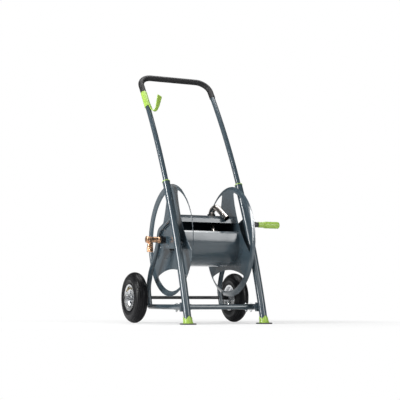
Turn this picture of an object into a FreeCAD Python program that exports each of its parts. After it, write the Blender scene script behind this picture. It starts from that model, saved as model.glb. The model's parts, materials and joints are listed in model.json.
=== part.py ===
import FreeCAD, Part

import math
import os
import re

import Sketcher
from FreeCAD import Placement, Rotation, Vector

# A garden hose reel cart. Millimetres, +Z up, +X towards the crank, +Y towards the wheels.
# The origin is on the ground, midway between the two front feet.

DOC = FreeCAD.newDocument("hose_reel_cart")
SHEET = DOC.addObject("Spreadsheet::Sheet", "Sizes")

# ---------------------------------------------------------------------------------------------
# Driving sizes: alias, value, meaning
# ---------------------------------------------------------------------------------------------
SIZES = [
    ("LegSpacing", 393, "between the centre planes of the two legs"),
    ("LegLean", 15.4, "degrees that a leg leans back where it meets the ground"),
    ("LegCurve", 3634, "radius of the long bow that legs and handle arms share"),
    ("LegFoot", 13, "distance along the bow where the leg tube starts"),
    ("LegTop", 733, "distance along the bow where the leg tube ends"),
    ("LegDiameter", 36, "outside of the leg tube"),
    ("LegWall", 1.8, "wall of the leg tube"),
    ("HandleDiameter", 25.4, "outside of the handle tube"),
    ("HandleWall", 1.6, "wall of the handle tube"),
    ("HandleReach", 1430, "distance along the bow to the centre of the handle's cross piece"),
    ("HandleBend", 68, "radius of the handle's two corners"),
    ("CollarSleeve", 45, "length of the collar inside the leg"),
    ("CollarHead", 4, "height of the collar above the leg"),
    ("CollarLip", 1.4, "how far the collar's head stands proud of the leg"),
    ("GuideLength", 38, "length of the guide on the lower end of a handle arm"),
    ("SlideGap", 0.35, "radial gap of the telescoping parts"),
    ("GripWall", 2.4, "wall of the soft grip"),
    ("GripArm", 118, "length of grip down each arm, measured along the bow"),
    ("HookSleeve", 102, "length of the hook's sleeve"),
    ("HookWall", 3.4, "wall of the hook's sleeve"),
    ("HookStrip", 5, "thickness of the hook's strip"),
    ("HookWidth", 24, "width of the hook's strip"),
    ("HookSwing", 60, "degrees that the hook is turned forwards from the other arm"),
    ("HookReach", 86, "distance of the hook's tip from the arm's centre line"),
    ("HookRootRise", 20, "start of the hook's strip, above the sleeve's lower end"),
    ("HookNeckDrop", 30, "where the strip leaves the arm, below the sleeve's lower end"),
    ("HookDepth", 60, "lowest corner of the strip, below the sleeve's lower end"),
    ("HookElbowDrop", 34, "strip's outer corner, below the sleeve's lower end"),
    ("HookTipRise", 14, "strip's tip, above the sleeve's lower end"),
    ("PadDiameter", 78, "foot pad"),
    ("PadThickness", 6, "foot pad"),
    ("CupTop", 41, "diameter of the foot cup's upper rim"),
    ("CupBottom", 47, "diameter of the foot cup where it meets the pad"),
    ("CupLength", 27, "length of the foot cup along the leg"),
    ("FrameTube", 24, "outside of the crossbar, rails and struts"),
    ("FrameWall", 1.6, "wall of the crossbar, rails and struts"),
    ("RailHeight", 80, "height of the rails and the crossbar"),
    ("CrossbarSetback", 100, "distance of the crossbar behind the feet"),
    ("SocketWall", 2, "wall of the sockets that hold the rails and the crossbar"),
    ("SocketLength", 150, "distance behind the feet where a socket's rear mouth lies"),
    ("SocketStub", 44, "length of a socket's side branch"),
    ("SocketInset", 45, "distance behind the leg where a rail starts inside its socket"),
    ("SocketBoltInset", 14, "distance of a socket's bolt from the socket's mouth"),
    ("SaddleHeight", 42, "saddle of a socket against the leg"),
    ("SaddleDepth", 22, "saddle of a socket against the leg"),
    ("StrutTop", 508, "height where a rear strut leaves the leg"),
    ("CornerBack", 44, "strut's upper corner, behind the reel's axis"),
    ("CornerRise", 50, "strut's upper corner, above the reel's axis"),
    ("KneeBack", 86, "strut's knee, behind the reel's axis"),
    ("KneeDrop", 50, "strut's knee, below the reel's axis"),
    ("ShinFront", 17, "strut's shin, before the wheel axle"),
    ("ShinRise", 124, "strut's shin, above the wheel axle"),
    ("AnkleBack", 13, "strut's ankle, behind the wheel axle"),
    ("AnkleRise", 46, "strut's ankle, above the wheel axle"),
    ("StrutEndFront", 12, "strut's lower end, before the wheel axle"),
    ("StrutEndDrop", 46, "strut's lower end, below the wheel axle"),
    ("CornerBend", 38, "radius of the strut's upper corner"),
    ("KneeBend", 160, "radius of the strut's knee and shin"),
    ("AnkleBend", 90, "radius of the strut's ankle"),
    ("AxleSetback", 477, "distance of the wheel axle behind the feet"),
    ("AxleDiameter", 16, "wheel axle"),
    ("WheelDiameter", 250, "over the tyre"),
    ("WheelOffset", 78.5, "distance of a wheel's middle plane outboard of its leg's middle plane"),
    ("TyreWidth", 68, "section of the tyre"),
    ("TyreWall", 6, "wall of the tyre"),
    ("WasherSheet", 2.5, "axle washer"),
    ("RimDiameter", 133, "over the rim's flanges"),
    ("RimBarrel", 116, "diameter of the tyre's seat on the rim"),
    ("RimWidth", 58, "over the rim's two flanges"),
    ("RimSheet", 2, "sheet of the rim halves"),
    ("RimWeb", 8, "distance of a rim half's web from the middle plane"),
    ("HubDiameter", 35, "outside of the wheel hub's tube"),
    ("HubLength", 76, "length of the wheel hub's tube"),
    ("BearingWidth", 11, "wheel bearing"),
    ("RunningFit", 0.05, "radial gap of a shaft in its bearing"),
    ("EndPlay", 0.6, "gap beside a turning piece"),
    ("ReelSetback", 295, "distance of the reel's axis behind the feet"),
    ("ReelHeight", 403, "height of the reel's axis"),
    ("ReelWidth", 300, "between the inner faces of the two flanges"),
    ("FlangeDiameter", 546, "over the flange's lip"),
    ("FlangeSheet", 2, "sheet of the flanges"),
    ("FlangeFlat", 500, "diameter where the flat plate turns into the lip"),
    ("LipDepth", 14, "how far the lip stands outboard of the plate"),
    ("WindowArch", 142, "distance of a window's arch from the reel's axis"),
    ("WindowRadius", 500, "radius of a window's arch"),
    ("WindowOuter", 496, "diameter of the outer edge of the windows"),
    ("WindowCorner", 14, "radius of the window's corners"),
    ("DrumDiameter", 252, "outside of the drum"),
    ("DrumSheet", 2, "sheet of the drum"),
    ("DrumSlotLow", 15, "angle above horizontal where the sheet folds below the slot"),
    ("DrumSlotHigh", 57, "angle above horizontal where the sheet folds above the slot"),
    ("FoldLow", 14, "depth of the fold below the slot"),
    ("FoldHigh", 19, "depth of the fold above the slot"),
    ("FoldLowTurn", 39, "degrees from +Y towards +Z along which the lower fold runs"),
    ("FoldHighTurn", 256, "degrees from +Y towards +Z along which the upper fold runs"),
    ("TabSize", 20, "side of the drum's square end tabs"),
    ("TabInset", 9, "distance of a tab's screw inside the drum's sheet"),
    ("TabAngle", 22, "degrees between a tab and the middle of its flange arm"),
    ("SpindleDiameter", 27, "reel's hollow spindle"),
    ("HubDisc", 104, "diameter of the hub's disc on the flange"),
    ("HubSheet", 3, "thickness of the hub's disc"),
    ("HubSleeve", 36, "outside of the hub's sleeve"),
    ("HubScrewInset", 11, "distance of a hub screw inside the disc's edge"),
    ("PlateSheet", 3, "bearing plate"),
    ("PlateInset", 8, "distance of the bearing plate inboard of the leg's middle plane"),
    ("PlateTail", 40, "length of the bearing plate below the strut's knee"),
    ("BushCollar", 46, "collar of the reel's bearing"),
    ("BushBarrel", 34, "barrel of the reel's bearing"),
    ("BushDepth", 8, "thickness of the bearing's collar"),
    ("BushNose", 6, "how far the bearing's barrel stands outboard of the plate"),
    ("BoltDiameter", 8, "frame bolts"),
    ("ScrewDiameter", 6, "hub, drum and bearing screws"),
    ("PipeDiameter", 30, "outlet pipe"),
    ("PipeWall", 2, "wall of the outlet pipe"),
    ("PipeOffset", 67, "place of the outlet pipe along the drum"),
    ("PipeBend", 30, "radius of the outlet pipe's bend"),
    ("PipeRise", 78, "outlet pipe's corner, above the drum's top"),
    ("PipeBack", 28, "outlet pipe's corner, behind the reel's axis"),
    ("PipeMouthFront", 92, "outlet pipe's mouth, before the reel's axis"),
    ("PipeMouthDrop", 18, "outlet pipe's mouth, below the drum's top"),
    ("PipeMouthAside", 34, "outlet pipe's mouth, from the pipe's place towards the crank"),
    ("PipeLockNut", 9, "thickness of the nut around the outlet pipe"),
    ("PipeSeat", 14, "distance of the pipe's lower end above the spindle"),
    ("SpindleShoulder", 18, "how far the spindle's full size reaches beyond the left leg"),
    ("CrankAngle", 144, "degrees from +Y towards +Z at which the crank rests"),
    ("CrankLength", 136, "between the reel's axis and the grip's axis"),
    ("CrankOffset", 32.5, "distance of the crank arm's inner face outboard of the leg's middle plane"),
    ("CrankSheet", 8, "thickness of the crank arm"),
    ("CrankBoss", 40, "diameter of the crank arm's boss"),
    ("CrankPin", 12, "pin inside the grip"),
    ("PinHeadDepth", 12, "distance of the pin's head from the grip's closed end"),
    ("CrankCap", 3, "washer under the crank's bolt"),
    ("CollarDiameter", 28, "dark collar beside the grip"),
    ("CollarLength", 24, "dark collar beside the grip"),
    ("GripDiameter", 34, "crank grip"),
    ("GripNeck", 28, "neck of the crank grip"),
    ("GripNeckLength", 32, "neck of the crank grip"),
    ("GripLength", 116, "crank grip"),
    ("InletSpigot", 18, "diameter of the spindle's end inside the swivel"),
    ("SwivelNut", 16, "length of the swivel nut's hexagon"),
    ("InletBody", 29, "diameter of the swivel elbow"),
    ("InletReach", 74.5, "distance of the swivel's closed end beyond the spindle's shoulder"),
    ("InletBranch", 52.5, "distance of the swivel's branch beyond the spindle's shoulder"),
    ("InletDrop", 60, "distance of the coupling's mouth below the reel's axis"),
    ("CouplingDiameter", 31, "outside of the hose coupling"),
    ("CouplingBore", 24, "inside of the hose coupling"),
    ("CouplingLength", 26, "length of the hose coupling"),
    ("CouplingWall", 4, "upper wall of the hose coupling"),
    ("CouplingThread", 17, "length of the hose coupling's thread bore"),
    ("CouplingGroove", 0.8, "depth of the groove between the thread bore and the upper wall"),
]

for row, (alias, number, meaning) in enumerate(SIZES, start=1):
    SHEET.set(f"A{row}", alias)
    SHEET.set(f"B{row}", str(number))
    SHEET.set(f"C{row}", meaning)
    SHEET.setAlias(f"B{row}", alias)
DOC.recompute()

X_AXIS = Vector(1, 0, 0)
Y_AXIS = Vector(0, 1, 0)
Z_AXIS = Vector(0, 0, 1)
PARTS = {}


# ---------------------------------------------------------------------------------------------
# Helpers
# ---------------------------------------------------------------------------------------------
def sized(expression):
    """Puts the sheet's name before every alias, so 'LegWall * 2' becomes 'Sizes.LegWall * 2'."""
    return re.sub(r"[A-Z][A-Za-z]+", lambda word: "Sizes." + word.group(0), str(expression))


def value(expression):
    """The number that an expression of sheet aliases stands for."""
    return float(SHEET.evalExpression(sized(expression)))


def bind(piece, **sizes):
    """Ties the named properties of a document object to expressions of sheet aliases."""
    for name, expression in sizes.items():
        piece.setExpression(name, sized(expression))
    return piece


def keep(label, piece):
    """Names a finished sub-part and marks it for export."""
    piece.Label = label
    PARTS[label] = piece
    return piece


def facing(direction):
    """The turn that lays the local Z axis along a direction."""
    return Rotation(Z_AXIS, direction)


def rod(name, radius, length, start, direction=Z_AXIS):
    """A solid cylinder."""
    piece = bind(DOC.addObject("Part::Cylinder", name), Radius=radius, Height=length)
    piece.Placement = Placement(start, facing(direction))
    return piece


def cone(name, lower, upper, length, start, direction=Z_AXIS):
    """A solid cone frustum."""
    piece = bind(DOC.addObject("Part::Cone", name), Radius1=lower, Radius2=upper, Height=length)
    piece.Placement = Placement(start, facing(direction))
    return piece


def hexagon(name, radius, length, start, direction=Z_AXIS):
    """A hexagonal prism, sized over its corners."""
    piece = bind(DOC.addObject("Part::Prism", name), Circumradius=radius, Height=length)
    piece.Polygon = 6
    piece.Placement = Placement(start, facing(direction))
    return piece


def block(name, length, width, height, centre):
    """A box with its sides along the axes, given by its centre."""
    piece = bind(DOC.addObject("Part::Box", name), Length=length, Width=width, Height=height)
    half = Vector(value(length) / 2, value(width) / 2, value(height) / 2)
    piece.Placement = Placement(centre - half, Rotation())
    return piece


def cut(name, base, *tools):
    """The base without the tools."""
    piece = DOC.addObject("Part::Cut", name)
    piece.Base = base
    piece.Tool = tools[0] if len(tools) == 1 else fuse(name + "_tools", *tools)
    return piece


def fuse(name, *pieces):
    """One solid made of several that meet."""
    piece = DOC.addObject("Part::MultiFuse", name)
    piece.Shapes = list(pieces)
    return piece


def common(name, *pieces):
    """The space that several solids share."""
    piece = DOC.addObject("Part::MultiCommon", name)
    piece.Shapes = list(pieces)
    return piece


def group(name, *pieces):
    """Separate solids that share one node."""
    piece = DOC.addObject("Part::Compound", name)
    piece.Links = list(pieces)
    return piece


def tube(name, outer, inner, length, start, direction=Z_AXIS):
    """A straight tube, or a ring."""
    return cut(
        name,
        rod(name + "_outside", outer, length, start, direction),
        rod(name + "_inside", inner, length, start, direction),
    )


def revolved(label, corners):
    """A body turned about the X axis from a closed outline of (along X, radius) corners."""
    body = DOC.addObject("PartDesign::Body", label)
    sketch = body.newObject("Sketcher::SketchObject", label + "_section")
    plane = next(item for item in body.Origin.OriginFeatures if item.Role == "XZ_Plane")
    sketch.AttachmentSupport = [(plane, "")]
    sketch.MapMode = "FlatFace"
    spots = [Vector(value(along), value(out), 0) for along, out in corners]
    for index, spot in enumerate(spots):
        sketch.addGeometry(Part.LineSegment(spot, spots[(index + 1) % len(spots)]), False)
    for index in range(len(spots)):
        following = (index + 1) % len(spots)
        sketch.addConstraint(Sketcher.Constraint("Coincident", index, 2, following, 1))
    for index, corner in enumerate(corners):
        for kind, expression in zip(("DistanceX", "DistanceY"), corner):
            rule = Sketcher.Constraint(kind, -1, 1, index, 1, value(expression))
            number = sketch.addConstraint(rule)
            sketch.setExpression(f"Constraints[{number}]", sized(expression))
    turn = body.newObject("PartDesign::Revolution", label + "_turn")
    turn.Profile = sketch
    turn.ReferenceAxis = (sketch, ["H_Axis"])
    turn.Angle = 360
    body.Tip = turn
    return body


def rounded_path(points, radii):
    """Straight runs joined by tangent arcs; one radius for each inner point."""
    edges = []
    start = points[0]
    for before, corner, after, radius in zip(points, points[1:], points[2:], radii):
        arriving = (corner - before).normalize()
        leaving = (after - corner).normalize()
        turn = arriving.getAngle(leaving)
        reach = radius * math.tan(turn / 2)
        entry = corner - arriving * reach
        leave = corner + leaving * reach
        inward = (leaving - arriving).normalize()
        middle = corner + inward * (radius / math.cos(turn / 2) - radius)
        if (entry - start).Length > 1e-6:
            edges.append(Part.LineSegment(start, entry).toShape())
        edges.append(Part.Arc(entry, middle, leave).toShape())
        start = leave
    edges.append(Part.LineSegment(start, points[-1]).toShape())
    return Part.Wire(edges)


def along_path(name, path, radius):
    """A round bar swept along a path; the radius is an expression."""
    spine = DOC.addObject("Part::Feature", name + "_spine")
    spine.Shape = path
    first = path.OrderedEdges[0]
    start = first.valueAt(first.FirstParameter)
    heading = first.tangentAt(first.FirstParameter)
    section = bind(DOC.addObject("Part::Circle", name + "_section"), Radius=radius)
    section.Placement = Placement(start, facing(heading))
    sweep = DOC.addObject("Part::Sweep", name)
    sweep.Sections = [section]
    sweep.Spine = (spine, [f"Edge{index + 1}" for index in range(len(path.Edges))])
    sweep.Solid = True
    sweep.Frenet = False
    return sweep


# ---------------------------------------------------------------------------------------------
# The bow that the legs and the handle's arms follow
# ---------------------------------------------------------------------------------------------
LEAN = math.radians(value("LegLean"))
BOW = value("LegCurve")
BOW_Y = BOW * math.cos(LEAN)
BOW_Z = -BOW * math.sin(LEAN)
LEG_X = value("LegSpacing / 2")


def bow_angle(distance):
    """Angle of a place on the bow, seen from the bow's centre."""
    return math.pi - LEAN - distance / BOW


def bow_point(x, distance):
    """The point at a distance along the bow, measured from the ground."""
    angle = bow_angle(distance)
    return Vector(x, BOW_Y + BOW * math.cos(angle), BOW_Z + BOW * math.sin(angle))


def bow_tangent(distance):
    """The bow's direction upwards."""
    angle = bow_angle(distance)
    return Vector(0, math.sin(angle), -math.cos(angle))


def bow_distance(height):
    """How far along the bow a height is reached."""
    return BOW * (math.pi - LEAN - (math.pi - math.asin((height - BOW_Z) / BOW)))


def bowed_rod(name, x, lower, upper, radius):
    """A round bar along the bow between two distances, given as expressions."""
    piece = DOC.addObject("Part::Torus", name)
    bind(piece, Radius1="LegCurve", Radius2=radius)
    bind(piece, Angle3=f"(({upper}) - ({lower})) / LegCurve * 180 / pi")
    angle = bow_angle(value(upper))
    outward = Vector(0, math.cos(angle), math.sin(angle))
    across = Vector(0, -math.sin(angle), math.cos(angle))
    piece.Placement = Placement(Vector(x, BOW_Y, BOW_Z), Rotation(outward, across, X_AXIS, "XYZ"))
    return piece


def bowed_tube(name, x, lower, upper, outer, inner):
    """A round tube along the bow."""
    return cut(
        name,
        bowed_rod(name + "_outside", x, lower, upper, outer),
        bowed_rod(name + "_inside", x, lower, upper, inner),
    )


# ---------------------------------------------------------------------------------------------
# Places and shared expressions
# ---------------------------------------------------------------------------------------------
SIDES = (("left", -1), ("right", 1))
RAIL_Z = value("RailHeight")
AXLE = Vector(0, value("AxleSetback"), value("WheelDiameter / 2"))
REEL = Vector(0, value("ReelSetback"), value("ReelHeight"))
LEG_BORE = "(LegDiameter / 2 - LegWall)"
FRAME_BORE = "(FrameTube / 2 - FrameWall)"
WATER_BORE = "(InletSpigot / 2 - 3)"
SHOULDER = value("LegSpacing / 2 + SpindleShoulder")
INLET_END = SHOULDER + value("InletReach")
INLET_BRANCH = SHOULDER + value("InletBranch")
CRANK_PLANE = value("LegSpacing / 2 + CrankOffset")
WHEEL_PLANE = value("LegSpacing / 2 + WheelOffset")
PLATE_X = value("LegSpacing / 2 - PlateInset")
BUSH_END = PLATE_X + value("PlateSheet / 2 + BushNose")
HANDLE_START = "(LegTop - CollarSleeve - 2 - GuideLength)"
GRIP_START = "(HandleReach - GripArm)"
FLANGE_FACE = value("ReelWidth / 2 + FlangeSheet")


def bolt(name, start, direction, length, diameter="BoltDiameter"):
    """A hexagon bolt: the head's underside is at the start, and the shank runs along direction."""
    head = hexagon(name + "_head", f"{diameter} * 0.9", f"{diameter} * 0.6", start, direction * -1)
    shank = rod(name + "_shank", f"{diameter} / 2", length, start, direction)
    return fuse(name, head, shank)


def nut(name, start, direction, diameter="BoltDiameter"):
    """A hexagon nut that starts at a point and is as thick as its bolt's head."""
    body = hexagon(name + "_body", f"{diameter} * 0.9", f"{diameter} * 0.7", start, direction)
    hole = rod(name + "_hole", f"{diameter} / 2", f"{diameter} * 0.7", start, direction)
    return cut(name, body, hole)


# ---------------------------------------------------------------------------------------------
# Frame
# ---------------------------------------------------------------------------------------------
def legs_and_feet():
    """Two bowed leg tubes with a collar at the top and a cup on a pad at the bottom."""
    for side, sign in SIDES:
        x = sign * LEG_X
        keep("leg_" + side, bowed_tube(
            "leg_" + side, x, "LegFoot", "LegTop", "LegDiameter / 2", LEG_BORE))

        name = "leg_collar_" + side
        sleeve = bowed_rod(
            name + "_sleeve", x, "LegTop - CollarSleeve", "LegTop + CollarHead", LEG_BORE)
        head = bowed_rod(
            name + "_head", x, "LegTop", "LegTop + CollarHead", "LegDiameter / 2 + CollarLip")
        bore = bowed_rod(
            name + "_bore", x, "LegTop - CollarSleeve - 1", "LegTop + CollarHead + 1",
            "HandleDiameter / 2 + SlideGap")
        keep(name, cut(name, fuse(name + "_solid", sleeve, head), bore))

        name = "foot_pad_" + side
        middle = bow_point(x, value("PadThickness"))
        middle.z = 0
        pad = rod(name + "_disc", "PadDiameter / 2", "PadThickness", middle)
        keep(name, pad)

        name = "foot_cup_" + side
        base = bow_point(x, value("LegFoot") - value("CupLength / 2"))
        lean = bow_tangent(value("LegFoot"))
        shell = cone(
            name + "_shell", "CupBottom / 2 + 1.5", "CupTop / 2", "CupLength * 1.2", base, lean)
        socket = bowed_rod(
            name + "_socket", x, "LegFoot", "LegFoot + CupLength * 2", "LegDiameter / 2")
        ground = block(
            name + "_ground", "PadDiameter * 2", "PadDiameter * 2", "PadDiameter",
            Vector(x, middle.y, value("PadThickness - PadDiameter / 2")))
        notches = []
        rim = base + lean * value("CupLength * 1.2")
        for index in range(4):
            notch = DOC.addObject("Part::Prism", f"{name}_notch_{index}")
            notch.Polygon = 3
            bind(notch, Circumradius="CupLength * 0.36", Height="CupTop")
            outward = Rotation(X_AXIS, 45 + 90 * index)
            turned = Rotation(Z_AXIS, 45 + 90 * index)
            away = facing(lean).multVec(turned.multVec(X_AXIS))
            across = lean.cross(away)
            notch.Placement = Placement(
                rim + away * 4 + lean * value("CupLength * 0.06"),
                Rotation(lean * -1, across * -1, away, "XYZ"))
            notches.append(notch)
        keep(name, cut(name, shell, socket, ground, *notches))


def sockets_and_rails():
    """Corner sockets behind the legs, the crossbar, the side rails and their bolts."""
    bolts = []
    reach = value("FrameTube / 2 + SocketWall")
    setback = value("CrossbarSetback")
    inset = value("SocketInset")
    stub_bolt_x = LEG_X - reach - value("SocketStub - SocketBoltInset")
    for side, sign in SIDES:
        x = sign * LEG_X
        leg_y = bow_point(x, bow_distance(RAIL_Z)).y
        name = "corner_socket_" + side
        start = Vector(x, leg_y, RAIL_Z)
        long_run = rod(
            name + "_run", "FrameTube / 2 + SocketWall", f"SocketLength - {leg_y}", start, Y_AXIS)
        branch_start = Vector(x, setback, RAIL_Z)
        inward = X_AXIS * -sign
        branch = rod(
            name + "_branch", "FrameTube / 2 + SocketWall",
            "FrameTube / 2 + SocketWall + SocketStub", branch_start, inward)
        saddle = block(
            name + "_saddle", "LegDiameter + 2", "SaddleDepth", "SaddleHeight",
            Vector(x, leg_y + value("SaddleDepth"), RAIL_Z))
        leg_room = bowed_rod(name + "_leg_room", x, "LegFoot", "LegTop / 2", "LegDiameter / 2")
        run_bore = rod(
            name + "_run_bore", "FrameTube / 2", f"SocketLength - {leg_y}",
            start + Y_AXIS * inset, Y_AXIS)
        branch_bore = rod(
            name + "_branch_bore", "FrameTube / 2", "FrameTube + SocketWall + SocketStub",
            branch_start + inward * reach, inward)
        rail_bolt_y = value("SocketLength - SocketBoltInset")
        places = (Vector(x, rail_bolt_y, RAIL_Z), Vector(sign * stub_bolt_x, setback, RAIL_Z))
        holes = []
        for index, place in enumerate(places):
            top = place + Z_AXIS * reach
            holes.append(rod(
                f"{name}_hole_{index}", "BoltDiameter / 2", "(FrameTube + SocketWall * 2) * 1.2",
                place - Z_AXIS * reach * 1.2))
            bolts.append(bolt(
                f"frame_bolt_{side}_{index}", top, Z_AXIS * -1, "FrameTube + SocketWall * 2 + 10"))
            bolts.append(nut(
                f"frame_nut_{side}_{index}", place - Z_AXIS * reach, Z_AXIS * -1))
        keep(name, cut(
            name, fuse(name + "_solid", long_run, branch, saddle), leg_room, run_bore,
            branch_bore, *holes))

        name = "side_rail_" + side
        rail_start = Vector(x, leg_y + inset, RAIL_Z)
        rail_length = f"AxleSetback - StrutEndFront - {leg_y + inset}"
        rail = rod(name + "_outside", "FrameTube / 2", rail_length, rail_start, Y_AXIS)
        rail_bore = rod(name + "_inside", FRAME_BORE, rail_length, rail_start, Y_AXIS)
        strut_room = along_path(name + "_strut_room", strut_path(x), "FrameTube / 2")
        hole = rod(
            name + "_hole", "BoltDiameter / 2", "FrameTube * 1.4",
            Vector(x, rail_bolt_y, RAIL_Z - reach * 1.2))
        keep(name, cut(name, rail, rail_bore, strut_room, hole))

    half = value("LegSpacing / 2 - FrameTube / 2 - SocketWall")
    start = Vector(-half, setback, RAIL_Z)
    length = "LegSpacing - FrameTube - SocketWall * 2"
    bar = tube("front_crossbar_tube", "FrameTube / 2", FRAME_BORE, length, start, X_AXIS)
    holes = [
        rod(f"front_crossbar_hole_{side}", "BoltDiameter / 2", "FrameTube * 1.4",
            Vector(sign * stub_bolt_x, setback, RAIL_Z - reach * 1.2))
        for side, sign in SIDES
    ]
    keep("front_crossbar", cut("front_crossbar", bar, *holes))
    for side, sign in SIDES:
        place = Vector(sign * LEG_X, AXLE.y + 2, RAIL_Z)
        bolts.append(bolt(f"frame_bolt_{side}_rear", place, Y_AXIS * -1, "FrameTube + 6"))
    keep("frame_bolts", group("frame_bolts", *bolts))


def strut_points(x):
    """A rear strut's corner points: leg, upper corner, knee, shin, ankle and lower end."""
    top = value("StrutTop")
    return [
        Vector(x, bow_point(x, bow_distance(top)).y, top),
        REEL + Vector(x, value("CornerBack"), value("CornerRise")),
        REEL + Vector(x, value("KneeBack"), -value("KneeDrop")),
        AXLE + Vector(x, -value("ShinFront"), value("ShinRise")),
        AXLE + Vector(x, value("AnkleBack"), value("AnkleRise")),
        AXLE + Vector(x, -value("StrutEndFront"), -value("StrutEndDrop")),
    ]


def strut_path(x):
    """The line of a rear strut: back from the leg, over the bearing, down past the axle."""
    knee_bend = value("KneeBend")
    return rounded_path(
        strut_points(x), (value("CornerBend"), knee_bend, knee_bend, value("AnkleBend")))


def struts_and_plates():
    """Bent rear struts, and the bearing plates in their corners."""
    screws = []
    for side, sign in SIDES:
        x = sign * LEG_X
        path = strut_path(x)
        name = "rear_strut_" + side
        outside = along_path(name + "_outside", path, "FrameTube / 2")
        inside = along_path(name + "_inside", path, FRAME_BORE)
        leg_room = bowed_rod(name + "_leg_room", x, "LegFoot", "StrutTop + FrameTube * 3", "LegDiameter / 2")
        axle_hole = rod(
            name + "_axle_hole", "AxleDiameter / 2", "FrameTube * 2",
            Vector(x - value("FrameTube"), AXLE.y, AXLE.z), X_AXIS)
        end_hole = rod(
            name + "_end_hole", "BoltDiameter / 2", "FrameTube * 2",
            Vector(x, AXLE.y - value("FrameTube"), RAIL_Z), Y_AXIS)
        keep(name, cut(name, outside, inside, leg_room, axle_hole, end_hole))

        name = "bearing_plate_" + side
        plate_x = sign * PLATE_X
        leg_side, corner, knee = strut_points(plate_x)[:3]
        corners = [
            leg_side,
            corner,
            knee,
            knee - Z_AXIS * value("PlateTail"),
            REEL + Vector(plate_x, 56, -64),
            REEL + Vector(plate_x, -10, -42),
            bow_point(plate_x, bow_distance(REEL.z - 52)),
        ]
        outline = Part.makePolygon(corners + corners[:1])
        shift = X_AXIS * value("PlateSheet / 2")
        sheet = DOC.addObject("Part::Feature", name + "_sheet")
        sheet.Shape = Part.Face(outline).translated(shift * -1).extrude(shift * 2)
        strut_room = along_path(name + "_strut_room", path, "FrameTube / 2")
        leg_gap = bowed_rod(name + "_leg_room", x, "LegFoot", "StrutTop + FrameTube * 3", "LegDiameter / 2")
        barrel = rod(
            name + "_barrel", "BushBarrel / 2", "PlateSheet * 3",
            REEL + Vector(plate_x - value("PlateSheet * 1.5"), 0, 0), X_AXIS)
        screw_places = [
            REEL + Vector(plate_x, reach_y, reach_z)
            for reach_y, reach_z in ((46, -32), (-40, -28), (-6, 46))
        ]
        screw_holes = []
        for index, place in enumerate(screw_places):
            screw_holes.append(rod(
                f"{name}_hole_{index}", "ScrewDiameter / 2", "PlateSheet * 3",
                place - X_AXIS * value("PlateSheet * 1.5"), X_AXIS))
            head = place + X_AXIS * sign * value("PlateSheet / 2")
            screws.append(bolt(
                f"bearing_screw_{side}_{index}", head, X_AXIS * -sign,
                "PlateSheet + BushDepth * 0.5", "ScrewDiameter"))
        keep(name, cut(name, sheet, strut_room, leg_gap, barrel, *screw_holes))

        name = "reel_bearing_" + side
        inner_face = PLATE_X - value("PlateSheet / 2")
        ear_points = [REEL + Vector(0, place.y - REEL.y, place.z - REEL.z) for place in screw_places]
        collar_start = REEL + X_AXIS * sign * (inner_face - value("BushDepth"))
        outward = X_AXIS * sign
        collar = rod(name + "_collar", "BushCollar / 2", "BushDepth", collar_start, outward)
        ears = []
        for index, place in enumerate(ear_points):
            root = Vector(sign * (inner_face - value("BushDepth * 0.6")), place.y, place.z)
            ears.append(rod(
                f"{name}_ear_{index}", "ScrewDiameter * 1.5", "BushDepth * 0.6", root, outward))
            arm = Vector(0, place.y - REEL.y, place.z - REEL.z)
            bar = block(
                f"{name}_arm_{index}", "BushDepth * 0.6", f"{arm.Length}", "ScrewDiameter * 2",
                Vector(0, arm.Length / 2, 0))
            swing = Rotation(Y_AXIS, arm)
            shift_x = sign * (inner_face - value("BushDepth * 0.3"))
            bar.Placement = Placement(Vector(shift_x, REEL.y, REEL.z), swing).multiply(bar.Placement)
            ears.append(bar)
        barrel_length = "BushDepth + PlateSheet + BushNose"
        barrel = rod(name + "_barrel", "BushBarrel / 2", barrel_length, collar_start, outward)
        bore = rod(
            name + "_bore", "SpindleDiameter / 2 + RunningFit", barrel_length + " + 4",
            collar_start - outward * 2, outward)
        holes = [
            rod(f"{name}_screw_{index}", "ScrewDiameter / 2", "BushDepth * 2",
                Vector(sign * (inner_face - value("BushDepth * 1.5")), place.y, place.z), outward)
            for index, place in enumerate(ear_points)
        ]
        keep(name, cut(name, fuse(name + "_solid", collar, barrel, *ears), bore, *holes))
    keep("bearing_screws", group("bearing_screws", *screws))


def axle():
    """The wheel axle through both struts, its spacers and its end nuts."""
    hub_outer = WHEEL_PLANE + value("HubLength / 2 + EndPlay")
    hub_inner = WHEEL_PLANE - value("HubLength / 2 + EndPlay")
    washer = value("WasherSheet")
    rod_end = hub_outer + washer + value("AxleDiameter * 0.7")
    keep("axle_rod", rod(
        "axle_rod", "AxleDiameter / 2", f"{2 * rod_end}", AXLE - X_AXIS * rod_end, X_AXIS))
    spacers = []
    nuts = []
    strut_face = value("LegSpacing / 2 + FrameTube / 2")
    for side, sign in SIDES:
        outward = X_AXIS * sign
        spacers.append(tube(
            "axle_spacer_" + side, "AxleDiameter / 2 + 3", "AxleDiameter / 2",
            f"{hub_inner - strut_face}", AXLE + outward * strut_face, outward))
        nuts.append(tube(
            "axle_washer_" + side, "AxleDiameter * 0.95", "AxleDiameter / 2", "WasherSheet",
            AXLE + outward * hub_outer, outward))
        nuts.append(nut("axle_nut_" + side, AXLE + outward * (hub_outer + washer), outward,
                        "AxleDiameter"))
    keep("axle_spacers", group("axle_spacers", *spacers))
    keep("axle_nuts", group("axle_nuts", *nuts))


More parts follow.
